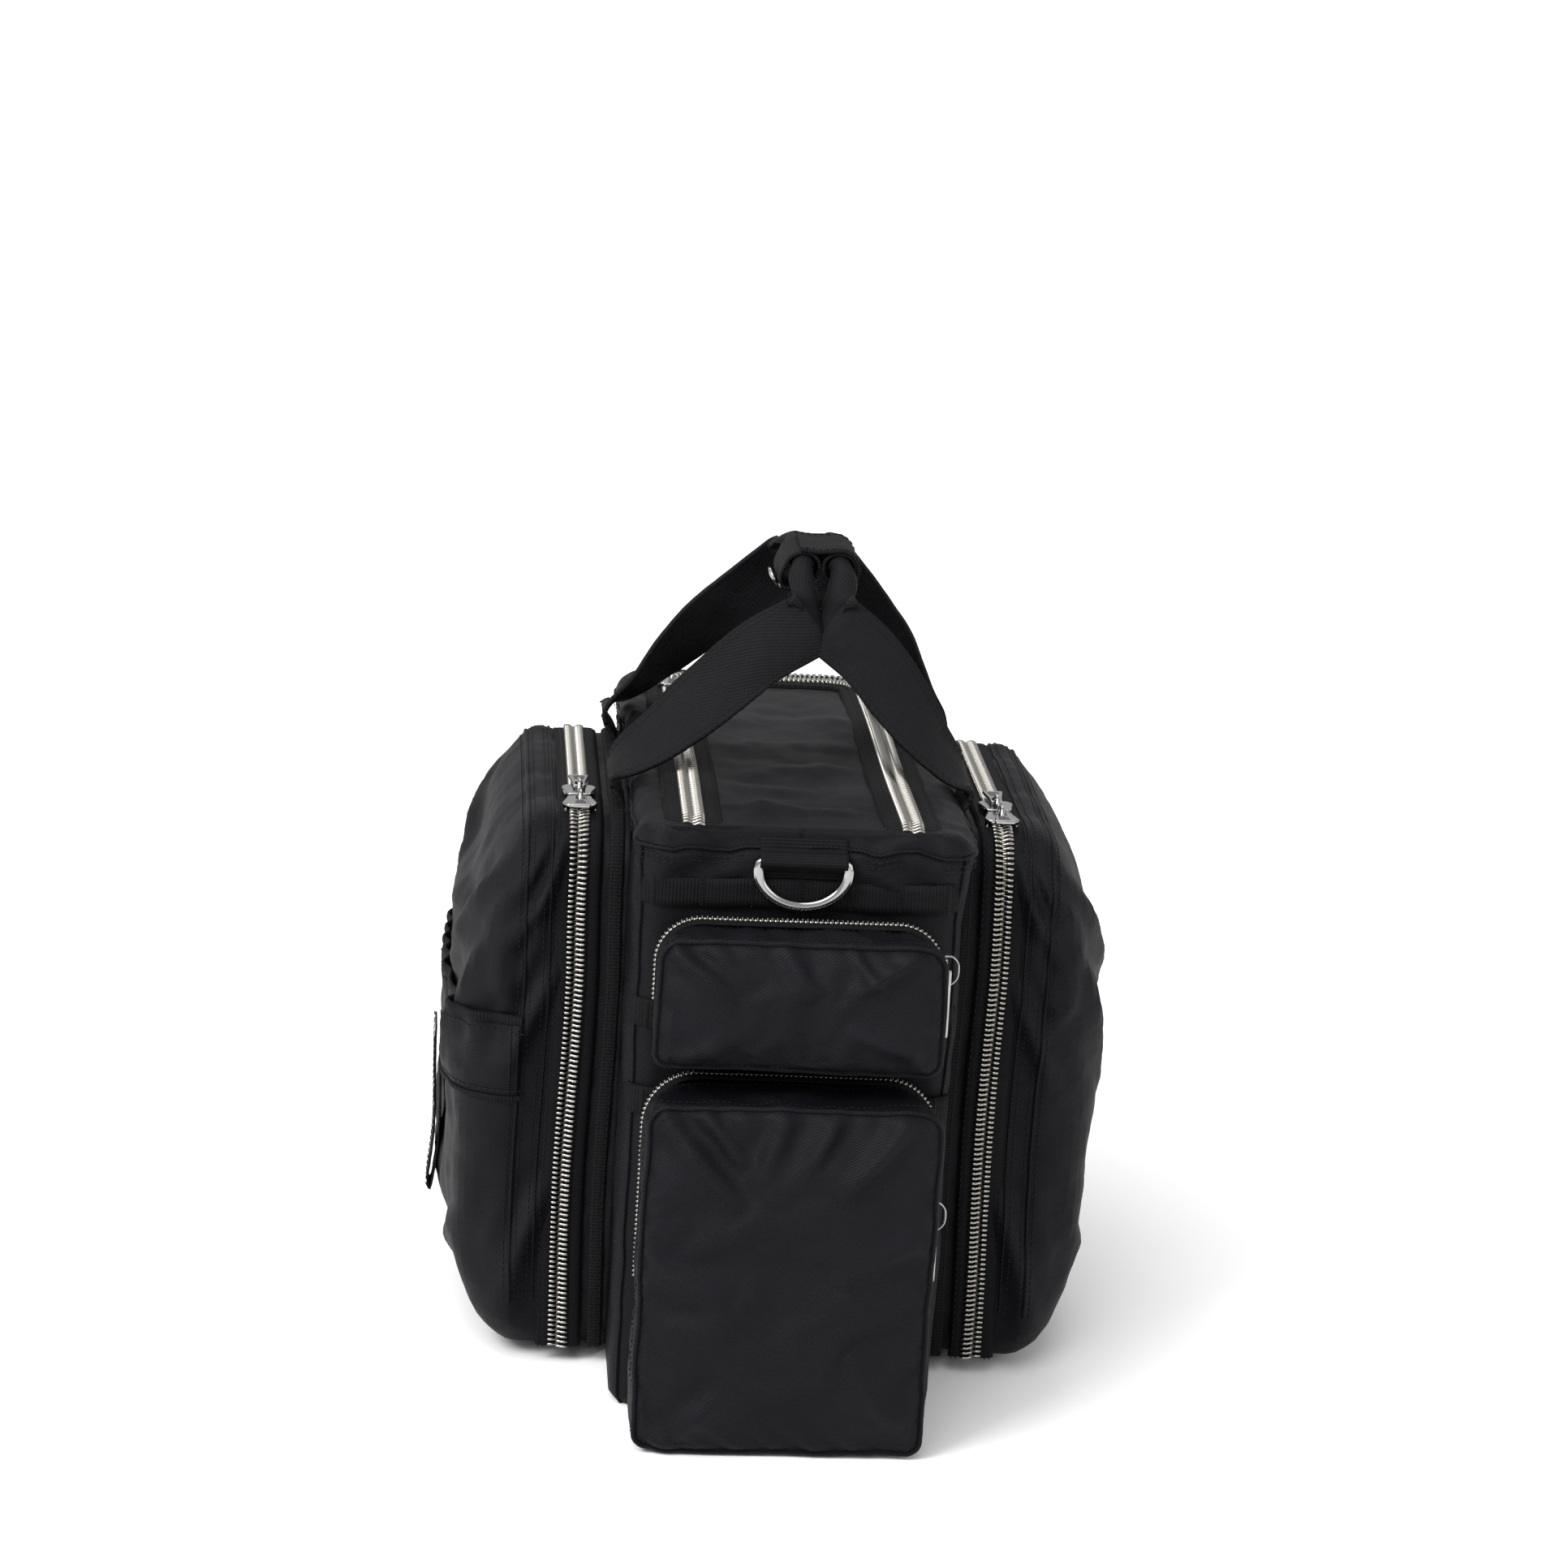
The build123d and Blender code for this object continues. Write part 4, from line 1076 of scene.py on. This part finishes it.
def ring_tab(end, sign):
    """The folded webbing tab that holds a D-ring against the end panel."""
    low, high = cad(f"{end}_ring_tab")
    ring_lo, ring_hi = cad(f"{end}_d_ring")
    bar_y, bar_z = (ring_lo[1] + ring_hi[1]) / 2, ring_hi[2] - 2.1
    face = sign * BODY_HI[1]
    turn = [(face + sign * 0.5, high[2] + 1.5), (face + sign * 2.2, bar_z + 4.6), (bar_y, bar_z + 3.6)]
    turn += [(bar_y + sign * 3.4, bar_z), (bar_y, bar_z - 3.4)]
    turn += [(face + sign * 2.0, bar_z - 5.2), (face + sign * 0.6, low[2] - 2)]
    side = resample(smooth(turn, 6), 0.8)
    xs = np.linspace(low[0] - 3.4, high[0] + 3.4, 24)
    grid = sheet(xs[None], side[:, None, 0], side[:, None, 1])
    grid[..., 1] += sign * 0.35 * swell(grid, 8, 61)
    tab = lattice(f"{end}_ring_tab_webbing", grid, WEBBING, "body", 1.3, out=(0, float(sign), 0))
    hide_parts(f"{end}_ring_tab")
    line = [(x, face + sign * 2.6, high[2] - 1.5) for x in (2 - high[0], high[0] - 2)]
    stitches(f"{end}_tab_stitches", [line], [(0, sign, 0)], "body", 2.0, 1.5, 0.25)


def smooth(points, times):
    """A Catmull-Rom curve through points."""
    p = np.asarray(points, float)
    p = np.concatenate([[2 * p[0] - p[1]], p, [2 * p[-1] - p[-2]]])
    rows = []
    for k in range(1, len(p) - 2):
        for t in np.linspace(0, 1, times, endpoint=False):
            a, b, c, d = p[k - 1 : k + 3]
            square, cube = 2 * a - 5 * b + 4 * c - d, 3 * b - a - 3 * c + d
            rows.append(0.5 * (2 * b + (c - a) * t + square * t**2 + cube * t**3))
    rows.append(p[-2])
    return np.array(rows)


webbing_rows()
ring_tab("front", -1)
ring_tab("rear", 1)


def d_ring(end):
    """A cast D-ring: a straight bar on top and a round bow below."""
    low, high = cad(f"{end}_d_ring")
    wide, y = high[0] - 2.0, (low[1] + high[1]) / 2
    top, bottom = high[2] - 2.1, low[2] + 1.9
    turns = np.linspace(-math.pi / 2, math.pi / 2, 40)
    bow = [(wide * math.sin(a), y, top - 3.5 - (top - bottom - 3.5) * math.cos(a)) for a in turns]
    bar = [(x, y, top) for x in np.linspace(wide - 2.4, -wide + 2.4, 22)]
    path = [*bow, (wide - 0.5, y, top - 1.1), *bar, (-wide + 0.5, y, top - 1.1)]
    wire = (1.35, 2.3)
    ring = tube(f"{end}_d_ring_wire", path, wire, NICKEL, f"{end}_ring", 14, closed=True, hint=(0, 1, 0.01))
    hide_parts(f"{end}_d_ring")


d_ring("front")
d_ring("rear")


# --- plates of metal ------------------------------------------------------------------------------
def plate(name, outline, holes, thick, bevel, at, axes, mat, body, smoothing=4):
    """A bevelled plate. axes are the directions of its own X, Y and Z, and at is its middle."""
    data = bpy.data.curves.new(name, "CURVE")
    data.dimensions = "2D"
    data.fill_mode = "BOTH"
    data.extrude = (thick / 2 - bevel) * MM
    data.bevel_depth = bevel * MM
    data.bevel_resolution = 2
    data.offset = -bevel * MM
    for loop in (outline, *holes):
        closed = np.asarray([loop[-1], *loop, loop[0], loop[1]], float)
        line = smooth(closed, smoothing)[smoothing:-smoothing - 1] if smoothing > 1 else np.asarray(loop, float)
        spline = data.splines.new("POLY")
        spline.points.add(len(line) - 1)
        for point, (x, y) in zip(spline.points, line):
            point.co = (x * MM, y * MM, 0, 1)
        spline.use_cyclic_u = True
    holder = bpy.data.objects.new(name + "_curve", data)
    bpy.context.scene.collection.objects.link(holder)
    bpy.context.view_layer.update()
    mesh = bpy.data.meshes.new_from_object(holder.evaluated_get(bpy.context.evaluated_depsgraph_get()))
    bpy.data.objects.remove(holder)
    bpy.data.curves.remove(data)
    turn = Matrix([[axes[c][r] for c in range(3)] for r in range(3)]).to_4x4()
    mesh.transform(Matrix.Translation(Vector(at) * MM) @ turn)
    mesh.materials.clear()
    mesh.materials.append(mat)
    mesh.shade_smooth()
    mesh.name = name
    thing = bpy.data.objects.new(name, mesh)
    bpy.context.scene.collection.objects.link(thing)
    edges = thing.modifiers.new("edges", "EDGE_SPLIT")
    edges.split_angle = math.radians(38)
    return assign(thing, body)


def local_point(at, axes, p):
    """A point of a part's own frame, in the bag's frame."""
    return np.asarray(at, float) + sum(np.asarray(axes[k], float) * p[k] for k in range(3))


SMALL_SLIDER = 12.0  # narrower ones have no lower plate


def slider(name, at, axes, size, bridge):
    """A zip slider: winged top plate, cheeks, a lower plate and the arched bridge.

    axes: across the chain, along the run, and out of the cloth. at is on the chain's face.
    """
    wide, long, rise = size
    w, h = wide / 2, long / 2
    large = wide > SMALL_SLIDER
    right = [(0.62, 1), (1, 0.62), (0.93, 0.1), (0.76, -0.5), (0.66, -0.95)]
    shape = [(-1, 0.62), (-0.62, 1), (0, 0.78), *right, (0, -1), (-0.66, -0.95), (-0.76, -0.5), (-0.93, 0.1)]
    wings = [(x * w, y * h) for x, y in shape]
    thick = 0.11 * wide
    top = local_point(at, axes, (0, 0, 0.5 * thick + 0.3))
    body = plate(name + "_top", wings, [], thick, 0.34 * thick, top, axes, NICKEL, name)
    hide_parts(name)
    if large:
        low = local_point(at, axes, (0, 0, -0.29 * wide))
        plate(name + "_under", wings, [], thick, 0.3 * thick, low, axes, NICKEL, name)
    depth, radius = (-0.05, 0.16) if large else (0.05, 0.09)
    for side, tag in ((-1, "a"), (1, "b")):
        spots = [(side * x * w, y * h, depth * wide) for x, y in ((0.86, 0.6), (0.84, 0.1), (0.7, -0.7))]
        path = resample(smooth([local_point(at, axes, p) for p in spots], 4), 0.8)
        tube(f"{name}_cheek_{tag}", path, (radius * wide, 0.065 * wide), NICKEL, name, 10, hint=axes[2])
    half = [(0.5, 0.4), (0.48, 0.55 * rise), (0.28, 0.92 * rise)]
    arch = [(0, -y * bridge, z) for y, z in half] + [(0, 0, rise)] + [(0, y * bridge, z) for y, z in half[::-1]]
    path = resample(smooth([local_point(at, axes, p) for p in arch], 5), 0.5)
    tube(name + "_bridge", path, (0.05 * wide, 0.07 * wide), NICKEL, name, 12, hint=axes[2])


def mitre_free(points, radius, count=5):
    """A closed outline with rounded corners."""
    p = np.asarray(points, float)
    rows = []
    for k in range(len(p)):
        before, here, after = p[k - 1], p[k], p[(k + 1) % len(p)]
        a, b = unit(before - here) * radius, unit(after - here) * radius
        for t in np.linspace(0, 1, count):
            rows.append(here + a * (1 - t) ** 2 + b * t**2)
    return [tuple(r) for r in rows]


def mirrored(points):
    """A closed outline from its right half, listed from the top down."""
    return [(-x, y) for x, y in points[:1]] + list(points) + [(-x, y) for x, y in points[:0:-1]]


def wide_pull(name, node, at, axes, length):
    """A flared puller of plate: narrow at its eye, wide at its free end, with a sunk panel."""
    outline = mitre_free(mirrored([(2.7, 0.6), (2.9, -6.0), (4.6, -length + 1)]), 1.0)
    eye = mitre_free([(-1.6, -0.4), (-1.6, -6.0), (1.6, -6.0), (1.6, -0.4)], 0.7, 4)
    panel = plate(name + "_plate", outline, [eye], 1.5, 0.45, at, axes, NICKEL, node, 1)
    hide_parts(name)
    sunk = mitre_free([(-1.9, -8.0), (1.9, -8.0), (2.8, -length + 3.2), (-2.8, -length + 3.2)], 0.9, 4)
    plate(name + "_panel", sunk, [], 1.7, 0.25, at, axes, DARK_INLAY, node, 1)


def long_pull(name, node, at, axes, length):
    """A long narrow puller: an eye, a slim frame and a dark strip in it."""
    outline = mitre_free(mirrored([(2.5, 0.6), (2.3, -9), (3.2, -length + 3), (2.4, -length)]), 1.0)
    eye = mitre_free([(-1.45, -0.4), (-1.35, -8.0), (1.35, -8.0), (1.45, -0.4)], 0.7, 4)
    frame_plate = plate(name + "_frame", outline, [eye], 1.5, 0.45, at, axes, NICKEL, node, 1)
    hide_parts(name)
    strip = mitre_free(mirrored([(0.9, -10.5), (1.6, -length + 4), (1.0, -length + 2.2)]), 0.4, 3)
    plate(name + "_strip", strip, [], 1.7, 0.22, at, axes, DARK_INLAY, node, 1)


X, Y, Z = np.eye(3)
for SIDE, NAME in ((-1, "left"), (1, "right")):
    for END, RUN in (("front", -1), ("rear", 1)):
        PART = f"{NAME}_{END}_slider"
        LO, HI = cad(PART)
        PLACE = np.array([*((LO + HI) / 2)[:2], LO[2] + 0.4])
        slider(PART, PLACE, (RUN * X, RUN * Y, Z), (15.0, 15.0, 6.2), 9.5)
        PULL = f"{NAME}_{END}_pull"
        LO, HI = cad(PULL)
        START = HI[1] - 0.8 if RUN < 0 else LO[1] + 0.8
        PLACE = np.array([(LO[0] + HI[0]) / 2, START, (LO[2] + HI[2]) / 2])
        wide_pull(PULL, PULL, PLACE, (X, Y, Z) if RUN < 0 else (-X, -Y, Z), HI[1] - LO[1] - 1.0)
LO, HI = cad("top_slider")
slider("top_slider", np.array([*((LO + HI) / 2)[:2], LO[2] + 0.2]), (X, Y, Z), (15.0, 15.0, 6.2), 9.5)
LO, HI = cad("top_pull")
EYE = np.array([(LO[0] + HI[0]) / 2, HI[1] - 0.8, (LO[2] + HI[2]) / 2])
wide_pull("top_pull", "top_pull", EYE, (X, Y, Z), HI[1] - LO[1] - 1.0)
for NAME in ("upper", "lower"):
    LO, HI = cad(f"{NAME}_slider")
    slider(f"{NAME}_slider", np.array([LO[0] + 0.2, *((LO + HI) / 2)[1:]]), (Y, Z, X), (9.6, 12.0, 6.6), 12.5)
    LO, HI = cad(f"{NAME}_pull")
    EYE = np.array([(LO[0] + HI[0]) / 2, (LO[1] + HI[1]) / 2, HI[2] - 0.8])
    long_pull(f"{NAME}_pull", f"{NAME}_pull", EYE, (Y, Z, X), HI[2] - LO[2] - 1.4)


# --- band and hanging loop on the left pocket -----------------------------------------------------
def band():
    """A gathered cloth band round the left pocket, bound along its upper edge."""
    low, high = cad("left_pocket_band")
    reach = -high[0]
    plan, outs = rounded_loop(-200, OUT_X, POCKET_LO[1], POCKET_HI[1], POCKET_R, POCKET_R, 1.6)
    keep = plan[:, 0] > reach
    plan, outs = plan[keep], outs[keep]
    order = np.argsort(np.arctan2(plan[:, 1] - 3, plan[:, 0] - reach + 8))
    plan, outs = plan[order], outs[order]
    both = resample(np.concatenate([plan, outs], 1), 1.6)
    plan, outs = both[:, :2], unit(both[:, 2:])
    heights = np.linspace(low[2], high[2], 22)
    grid = sheet(plan[:, None, 0], plan[:, None, 1], heights + (1.6 * np.sin(plan[:, 1] / 31))[:, None])
    normals = np.broadcast_to(upright(outs)[:, None], grid.shape).copy()
    share = np.linspace(0, 1, len(heights))[None]
    run = np.cumsum(np.r_[0, np.linalg.norm(np.diff(plan, axis=0), axis=1)])[:, None]
    gather = np.sin(run / 3.1 + 1.8 * np.sin(run / 19)) * np.exp(-(((share - 0.86) / 0.26) ** 2))
    lift = 1.5 + 1.6 * gather + 1.6 * np.sin(math.pi * share) + 0.6 * swell(grid, 14, 71)
    grid[..., 0] *= -1
    normals[..., 0] *= -1
    base = hug(grid.reshape(-1, 3), normals.reshape(-1, 3), SKINS["left"], 0.0).reshape(grid.shape)
    line = base + normals * lift[..., None]
    cloth = lattice("band_cloth", line, NYLON, "left_pocket", 1.2, out=normals)
    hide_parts("left_pocket_band")
    for name, row, radius in (("upper", -1, (2.4, 1.0)), ("lower", 0, (1.2, 0.6))):
        edge = line[:, row] + normals[:, row] * 0.5
        tube(f"band_{name}_binding", edge, radius, WEBBING, "left_pocket", 8)
    for index, row in ((1, 2), (2, -4)):
        out = normals[:, row]
        stitches(f"band_stitches_{index}", [line[:, row] + out * 0.2], [out], "left_pocket")
    tacks = [line[k, 2:-2] + normals[k, 2:-2] * 0.3 for k in (1, 3, -2, -4)]
    outward = [normals[k, 2:-2] for k in (1, 3, -2, -4)]
    stitches("band_bar_tacks", tacks, outward, "left_pocket", 1.3, 1.2, 0.4)


def hanging_loop():
    """Doubled webbing that hangs from the band in a long loop."""
    low, high = cad("hanging_loop")
    levels = np.array([high[2] - 2, 110.0, 80.0, low[2] + 7])
    start = np.column_stack([np.full(4, high[0]), np.zeros(4), levels])
    face_x = hug(start, np.tile([-1.0, 0, 0], (4, 1)), SKINS["left"], 0.0)[:, 0]
    face_x = np.minimum(face_x, face_x.min() + 3.5) - 1.2
    face_x[0] -= 1.0
    side = list(zip(face_x, levels)) + [(face_x[3] - 1.2, low[2] + 1.2), (face_x[3] - 2.4, low[2] + 0.8)]
    side += [(x - 3.3, z) for x, z in zip(face_x[::-1], (levels - 1)[::-1])]
    line = resample(smooth(side, 8), 1.2)
    ys = np.linspace(low[1], high[1], 9)
    grid = sheet(line[:, None, 0], ys[None], line[:, None, 1])
    grid[..., 0] += 0.3 * swell(grid, 12, 73)
    strap = lattice("hanging_loop_webbing", grid, WEBBING, "hanging_loop", 0.9)
    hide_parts("hanging_loop")
    level = np.full(len(line), 1.0)
    rows = [np.column_stack([line[:, 0] - 0.25, y * level, line[:, 1]]) for y in (low[1] + 2, high[1] - 2)]
    half = len(line) // 2
    stitches("hanging_loop_stitches", [r[half:] for r in rows], [(-1, 0, 0)] * 2, "hanging_loop")


band()
hanging_loop()


# --- handles --------------------------------------------------------------------------------------
STRAP_W = 30.0
ROLL_R = 5.2  # of the strap where it is rolled into a grip
CURL = 1 / ROLL_R
NEAR_Y, FAR_Y = -48.0, 62.0


def handle(name):
    """A strap from one side of the bag to a rolled grip and down again."""
    side = -1 if name == "left" else 1
    grip_x, foot_x = GRIP_X[name], side * FOOT_X
    span = foot_x - grip_x
    up_in = unit(np.array([-side * 0.5, 0, 0.87]))
    inward = np.array([-side * 1.0, 0, 0])
    ends = []
    for foot_y, sign, reach in ((NEAR_Y, -1, -35.0), (FAR_Y, 1, 38.0)):
        out = np.array([side * 1.0, 0, 0])
        face = np.array([0, sign * 1.0, 0])
        sink, gather = (4.0, 6.4) if sign < 0 else (0.0, 2.0)
        roll_x = grip_x - side * gather
        ends.append(
            [
                ((foot_x + side * 1.0, foot_y, FOOT_Z + 0.4), out, 0.0),
                ((foot_x + side * 0.6, foot_y, FOOT_Z + 7), unit(out + 0.06 * face), 0.0),
                ((grip_x + 0.81 * span, foot_y, 275), unit(out * 0.9 + 0.5 * face + 0.35 * Z), 0.0),
                ((grip_x + 0.52 * span, foot_y * 0.99, 300 - sink), unit(out * 0.45 + face + 0.45 * Z), 0.004),
                ((grip_x + 0.24 * span, foot_y * 0.96, 320 - sink), unit(out * 0.2 + face + 0.25 * Z), 0.012),
                ((grip_x - side * (gather - 4), foot_y * 0.94, 333 - sink), unit(face + 0.05 * Z), 0.02),
                ((grip_x - side * (gather - 1), reach * 1.16, 336 - sink), unit(face + inward * 0.5), 0.035),
                ((roll_x, reach * 1.02, 342 - 0.6 * sink), unit(0.3 * face + inward + 0.15 * Z), 0.10),
                ((grip_x, reach * 0.80, GRIP_Z - 0.3) + up_in * ROLL_R, up_in, CURL),
            ]
        )
    centre_line = [(-16, 0.4), (4, 0.8), (18, 0.4)]
    crest = [((grip_x, y, GRIP_Z + rise) + up_in * ROLL_R, up_in, CURL) for y, rise in centre_line]
    stations = [*ends[0], *crest, *ends[1][::-1]]
    table = np.array([[*p, *n, k] for p, n, k in stations])
    fine = resample(smooth(table, 14), 1.5)
    path, curl = fine[:, :3], np.clip(fine[:, 6], 0, CURL)
    t = tangents(path)
    n = fine[:, 3:6]
    n = unit(n - t * (n * t).sum(1, keepdims=True))
    w = np.cross(t, n)
    offsets = np.linspace(-STRAP_W / 2, STRAP_W / 2, 29)
    k = np.maximum(curl, 1e-4)[:, None]
    drift = 1 + 0.10 * (offsets / STRAP_W)[None] * (curl[:, None] / CURL)
    along_w = np.sin(k * offsets[None]) / k
    along_n = -(1 - np.cos(k * offsets[None])) / k * drift
    grid = path[:, None] + w[:, None] * along_w[..., None] + n[:, None] * along_n[..., None]
    ripple = (0.55 * swell(grid, 16, 81 + side) + 0.9 * swell(grid, 42, 84 + side)) * (1 - curl / CURL)[:, None]
    grid += n[:, None] * ripple[..., None]
    strap = lattice(f"{name}_handle_strap", grid, STRAP, f"{name}_handle", 1.9, out=n[:, None])
    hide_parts(f"{name}_handle")
    outer = unit(np.cross(np.gradient(grid, axis=0), np.gradient(grid, axis=1)))
    if (outer * n[:, None]).sum() < 0:
        outer = -outer
    clear = slice(3, -3)
    lines = [grid[clear, c] for c in (1, 3, -4, -2)]
    outward = [outer[clear, c] for c in (1, 3, -4, -2)]
    stitches(f"{name}_handle_stitches", lines, outward, f"{name}_handle", 3.2, 2.3, 0.25, 0.05)
    rolled = curl > 0.8 * CURL
    core = (path - n * ROLL_R)[rolled]
    tube(f"{name}_grip_core", resample(core, 3), 4.2, WEBBING, f"{name}_handle", 12, hint=(1, 0, 0))


handle("left")
handle("right")


def strap_feet():
    """Stitched webbing patches where the straps meet the bag."""
    first = None
    for side, tag in ((-1, "left"), (1, "right")):
        for y, end in ((NEAR_Y, "near"), (FAR_Y, "far")):
            wall = BODY_HI[0]
            path = [(wall + 0.6, 226), (wall + 1.3, 240), (wall + 4.6, 250), (FOOT_X + 0.8, FOOT_Z - 0.2)]
            line = resample(smooth([(side * x, z) for x, z in path], 6), 1.5)
            ys = np.linspace(y - 15, y + 15, 12)
            grid = sheet(line[:, None, 0], ys[None], line[:, None, 1])
            patch = lattice(f"{tag}_{end}_strap_foot", grid, STRAP, "body", 1.6, out=(float(side), 0, 0))
            first = first or patch
            rows = [[(side * (wall + 1.0), y - a, 229), (side * (wall + 1.7), y + a, 240)] for a in (12, -12)]
            stitches(f"{tag}_{end}_foot_stitches", rows, [(side, 0, 0)] * 2, "body")
    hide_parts("strap_anchors")


strap_feet()


# --- wrap round the grips -------------------------------------------------------------------------
SNAP_ANGLE = math.radians(222)
WRAP_R, TONGUE_R = 7.9, 9.3


def wrap_ring(name):
    """The webbing that goes round one grip."""
    x = GRIP_X[name]
    angle = np.linspace(0, 2 * math.pi, 40, endpoint=False)
    ys = np.linspace(WRAP_Y[0], WRAP_Y[1], 18)
    radius = WRAP_R + 0.25 * np.sin(3 * angle)
    if name == "left":
        radius = radius + 5.0 * np.exp(-(((angle - SNAP_ANGLE) / 0.62) ** 2))
    grid = sheet((x + radius * np.cos(angle))[:, None], ys[None], (GRIP_Z + radius * np.sin(angle))[:, None])
    out = np.stack([np.cos(angle), np.zeros(40), np.sin(angle)], -1)[:, None]
    band_mesh = lattice(f"{name}_wrap_webbing", grid, WEBBING, f"{name}_handle", 1.5, close_u=True, out=out)
    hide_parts(f"{name}_wrap")


def tongue():
    """The flap of the wrap that crosses over both grips."""
    left, right = GRIP_X["left"], GRIP_X["right"]
    radius = TONGUE_R

    def round_grip(x, start, stop, count):
        turns = np.radians(np.linspace(start, stop, count))
        return [(x + radius * math.cos(a), GRIP_Z + radius * math.sin(a)) for a in turns]

    middle = ((left + right) / 2, GRIP_Z + radius - 0.6)
    over = [*round_grip(left, 100, 80, 4), middle, *round_grip(right, 95, -35, 14)]
    line = resample(smooth(over, 4), 1.0)
    ys = np.linspace(WRAP_Y[0] - 0.8, WRAP_Y[1] + 0.8, 18)
    grid = sheet(line[:, None, 0], ys[None], line[:, None, 1])
    grid[..., 2] += 0.3 * swell(grid, 9, 91)
    cloth = lattice("wrap_tongue_webbing", grid, WEBBING, "wrap_tongue", 1.6, out=(0.3, 0, 1.0))
    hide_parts("wrap_tongue")
    level = np.full(len(line), 1.0)
    edges = [np.column_stack([line[:, 0], y * level, line[:, 1] + 0.1]) for y in (ys[0] + 2, ys[-1] - 2)]
    t = tangents(line)
    up = np.column_stack([-t[:, 1], np.zeros(len(t)), t[:, 0]])
    up = up if up[:, 2].sum() > 0 else -up
    stitches("wrap_tongue_stitches", edges, [up, up], "wrap_tongue")


def snap():
    """The domed cap of a press stud."""
    low, high = cad("snap_cap")
    axis = np.array([math.cos(SNAP_ANGLE - 0.15), 0, math.sin(SNAP_ANGLE - 0.15)])
    at = np.array([GRIP_X["left"], (low[1] + high[1]) / 2 - 3, GRIP_Z]) + 13.2 * axis
    across = unit(np.cross(axis, Y))
    profile = [(0.0, 2.0), (1.6, 1.9), (3.0, 1.5), (3.9, 0.9), (4.2, 0.6)]
    profile += [(4.6, 0.95), (5.0, 0.6), (5.0, 0.0), (4.4, -0.4), (0.0, -0.4)]
    angle = np.linspace(0, 2 * math.pi, 36, endpoint=False)
    spokes = [across * math.cos(a) + Y * math.sin(a) for a in angle]
    grid = np.array([[at + axis * h + r * spoke for r, h in profile] for spoke in spokes])
    cap = lattice("snap_cap_dome", grid, NICKEL, "left_handle", 0, close_u=True, out=axis)
    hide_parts("snap_cap")


wrap_ring("left")
wrap_ring("right")
tongue()
snap()

dress("base_board", BOARD)


# --- camera, light and floor ----------------------------------------------------------------------
def camera():
    """A long lens that looks slightly down at the short end of the bag."""
    data = bpy.data.cameras.new("camera")
    data.sensor_width = 36.0
    data.lens = 96.894
    data.clip_end = 50
    pitch, yaw, roll = math.radians(15.1), math.radians(4.8), math.radians(-3.51)
    forward = Vector((math.sin(yaw) * math.cos(pitch), math.cos(yaw) * math.cos(pitch), -math.sin(pitch)))
    right = Vector((math.cos(yaw), -math.sin(yaw), 0))
    down = forward.cross(right)
    tilted = right * math.cos(roll) + down * math.sin(roll)
    below = -right * math.sin(roll) + down * math.cos(roll)
    thing = bpy.data.objects.new("camera", data)
    bpy.context.scene.collection.objects.link(thing)
    basis = Matrix([tilted, -below, -forward]).transposed().to_4x4()
    thing.matrix_world = Matrix.Translation(Vector((-152, -1828, 740)) * MM) @ basis
    bpy.context.scene.camera = thing


def light(name, at, target, size, watts):
    """A square soft light aimed at a point."""
    data = bpy.data.lights.new(name, "AREA")
    data.size = size
    data.energy = watts
    thing = bpy.data.objects.new(name, data)
    bpy.context.scene.collection.objects.link(thing)
    direction = Vector(target) - Vector(at)
    thing.matrix_world = Matrix.Translation(Vector(at)) @ direction.to_track_quat("-Z", "Y").to_matrix().to_4x4()


def studio():
    """A pale floor, a white surround, a wide sun and three soft lights."""
    mat, tree, shader = material("studio_floor", (0.965, 0.965, 0.965), 0.9)
    uneven(tree, shader, None, 3.0, 2.0, 0.88, 0.92)
    size = 9000
    corners = [(-size, -size, 0), (size, -size, 0), (size, size, 0), (-size, size, 0)]
    floor = publish("floor", corners, [(0, 1, 2, 3)], mat, smooth=False)
    world = bpy.data.worlds.new("surround")
    world.use_nodes = True
    world.node_tree.nodes["Background"].inputs["Color"].default_value = (1, 1, 1, 1)
    world.node_tree.nodes["Background"].inputs["Strength"].default_value = 0.62
    bpy.context.scene.world = world
    sun = bpy.data.lights.new("overhead", "SUN")
    sun.energy = 1.9
    sun.angle = math.radians(60)
    lamp = bpy.data.objects.new("overhead", sun)
    bpy.context.scene.collection.objects.link(lamp)
    lamp.matrix_world = Vector((0.45, 0.5, -1.0)).to_track_quat("-Z", "Y").to_matrix().to_4x4()
    light("key", (-1.3, -1.2, 1.6), (0, 0, 0.15), 0.8, 30)
    light("fill", (1.6, -1.5, 0.9), (0, 0, 0.15), 1.2, 8)
    light("back", (0.2, 1.5, 1.8), (0, 0, 0.2), 1.0, 8)
    bpy.context.scene.view_settings.view_transform = "Standard"


camera()
studio()
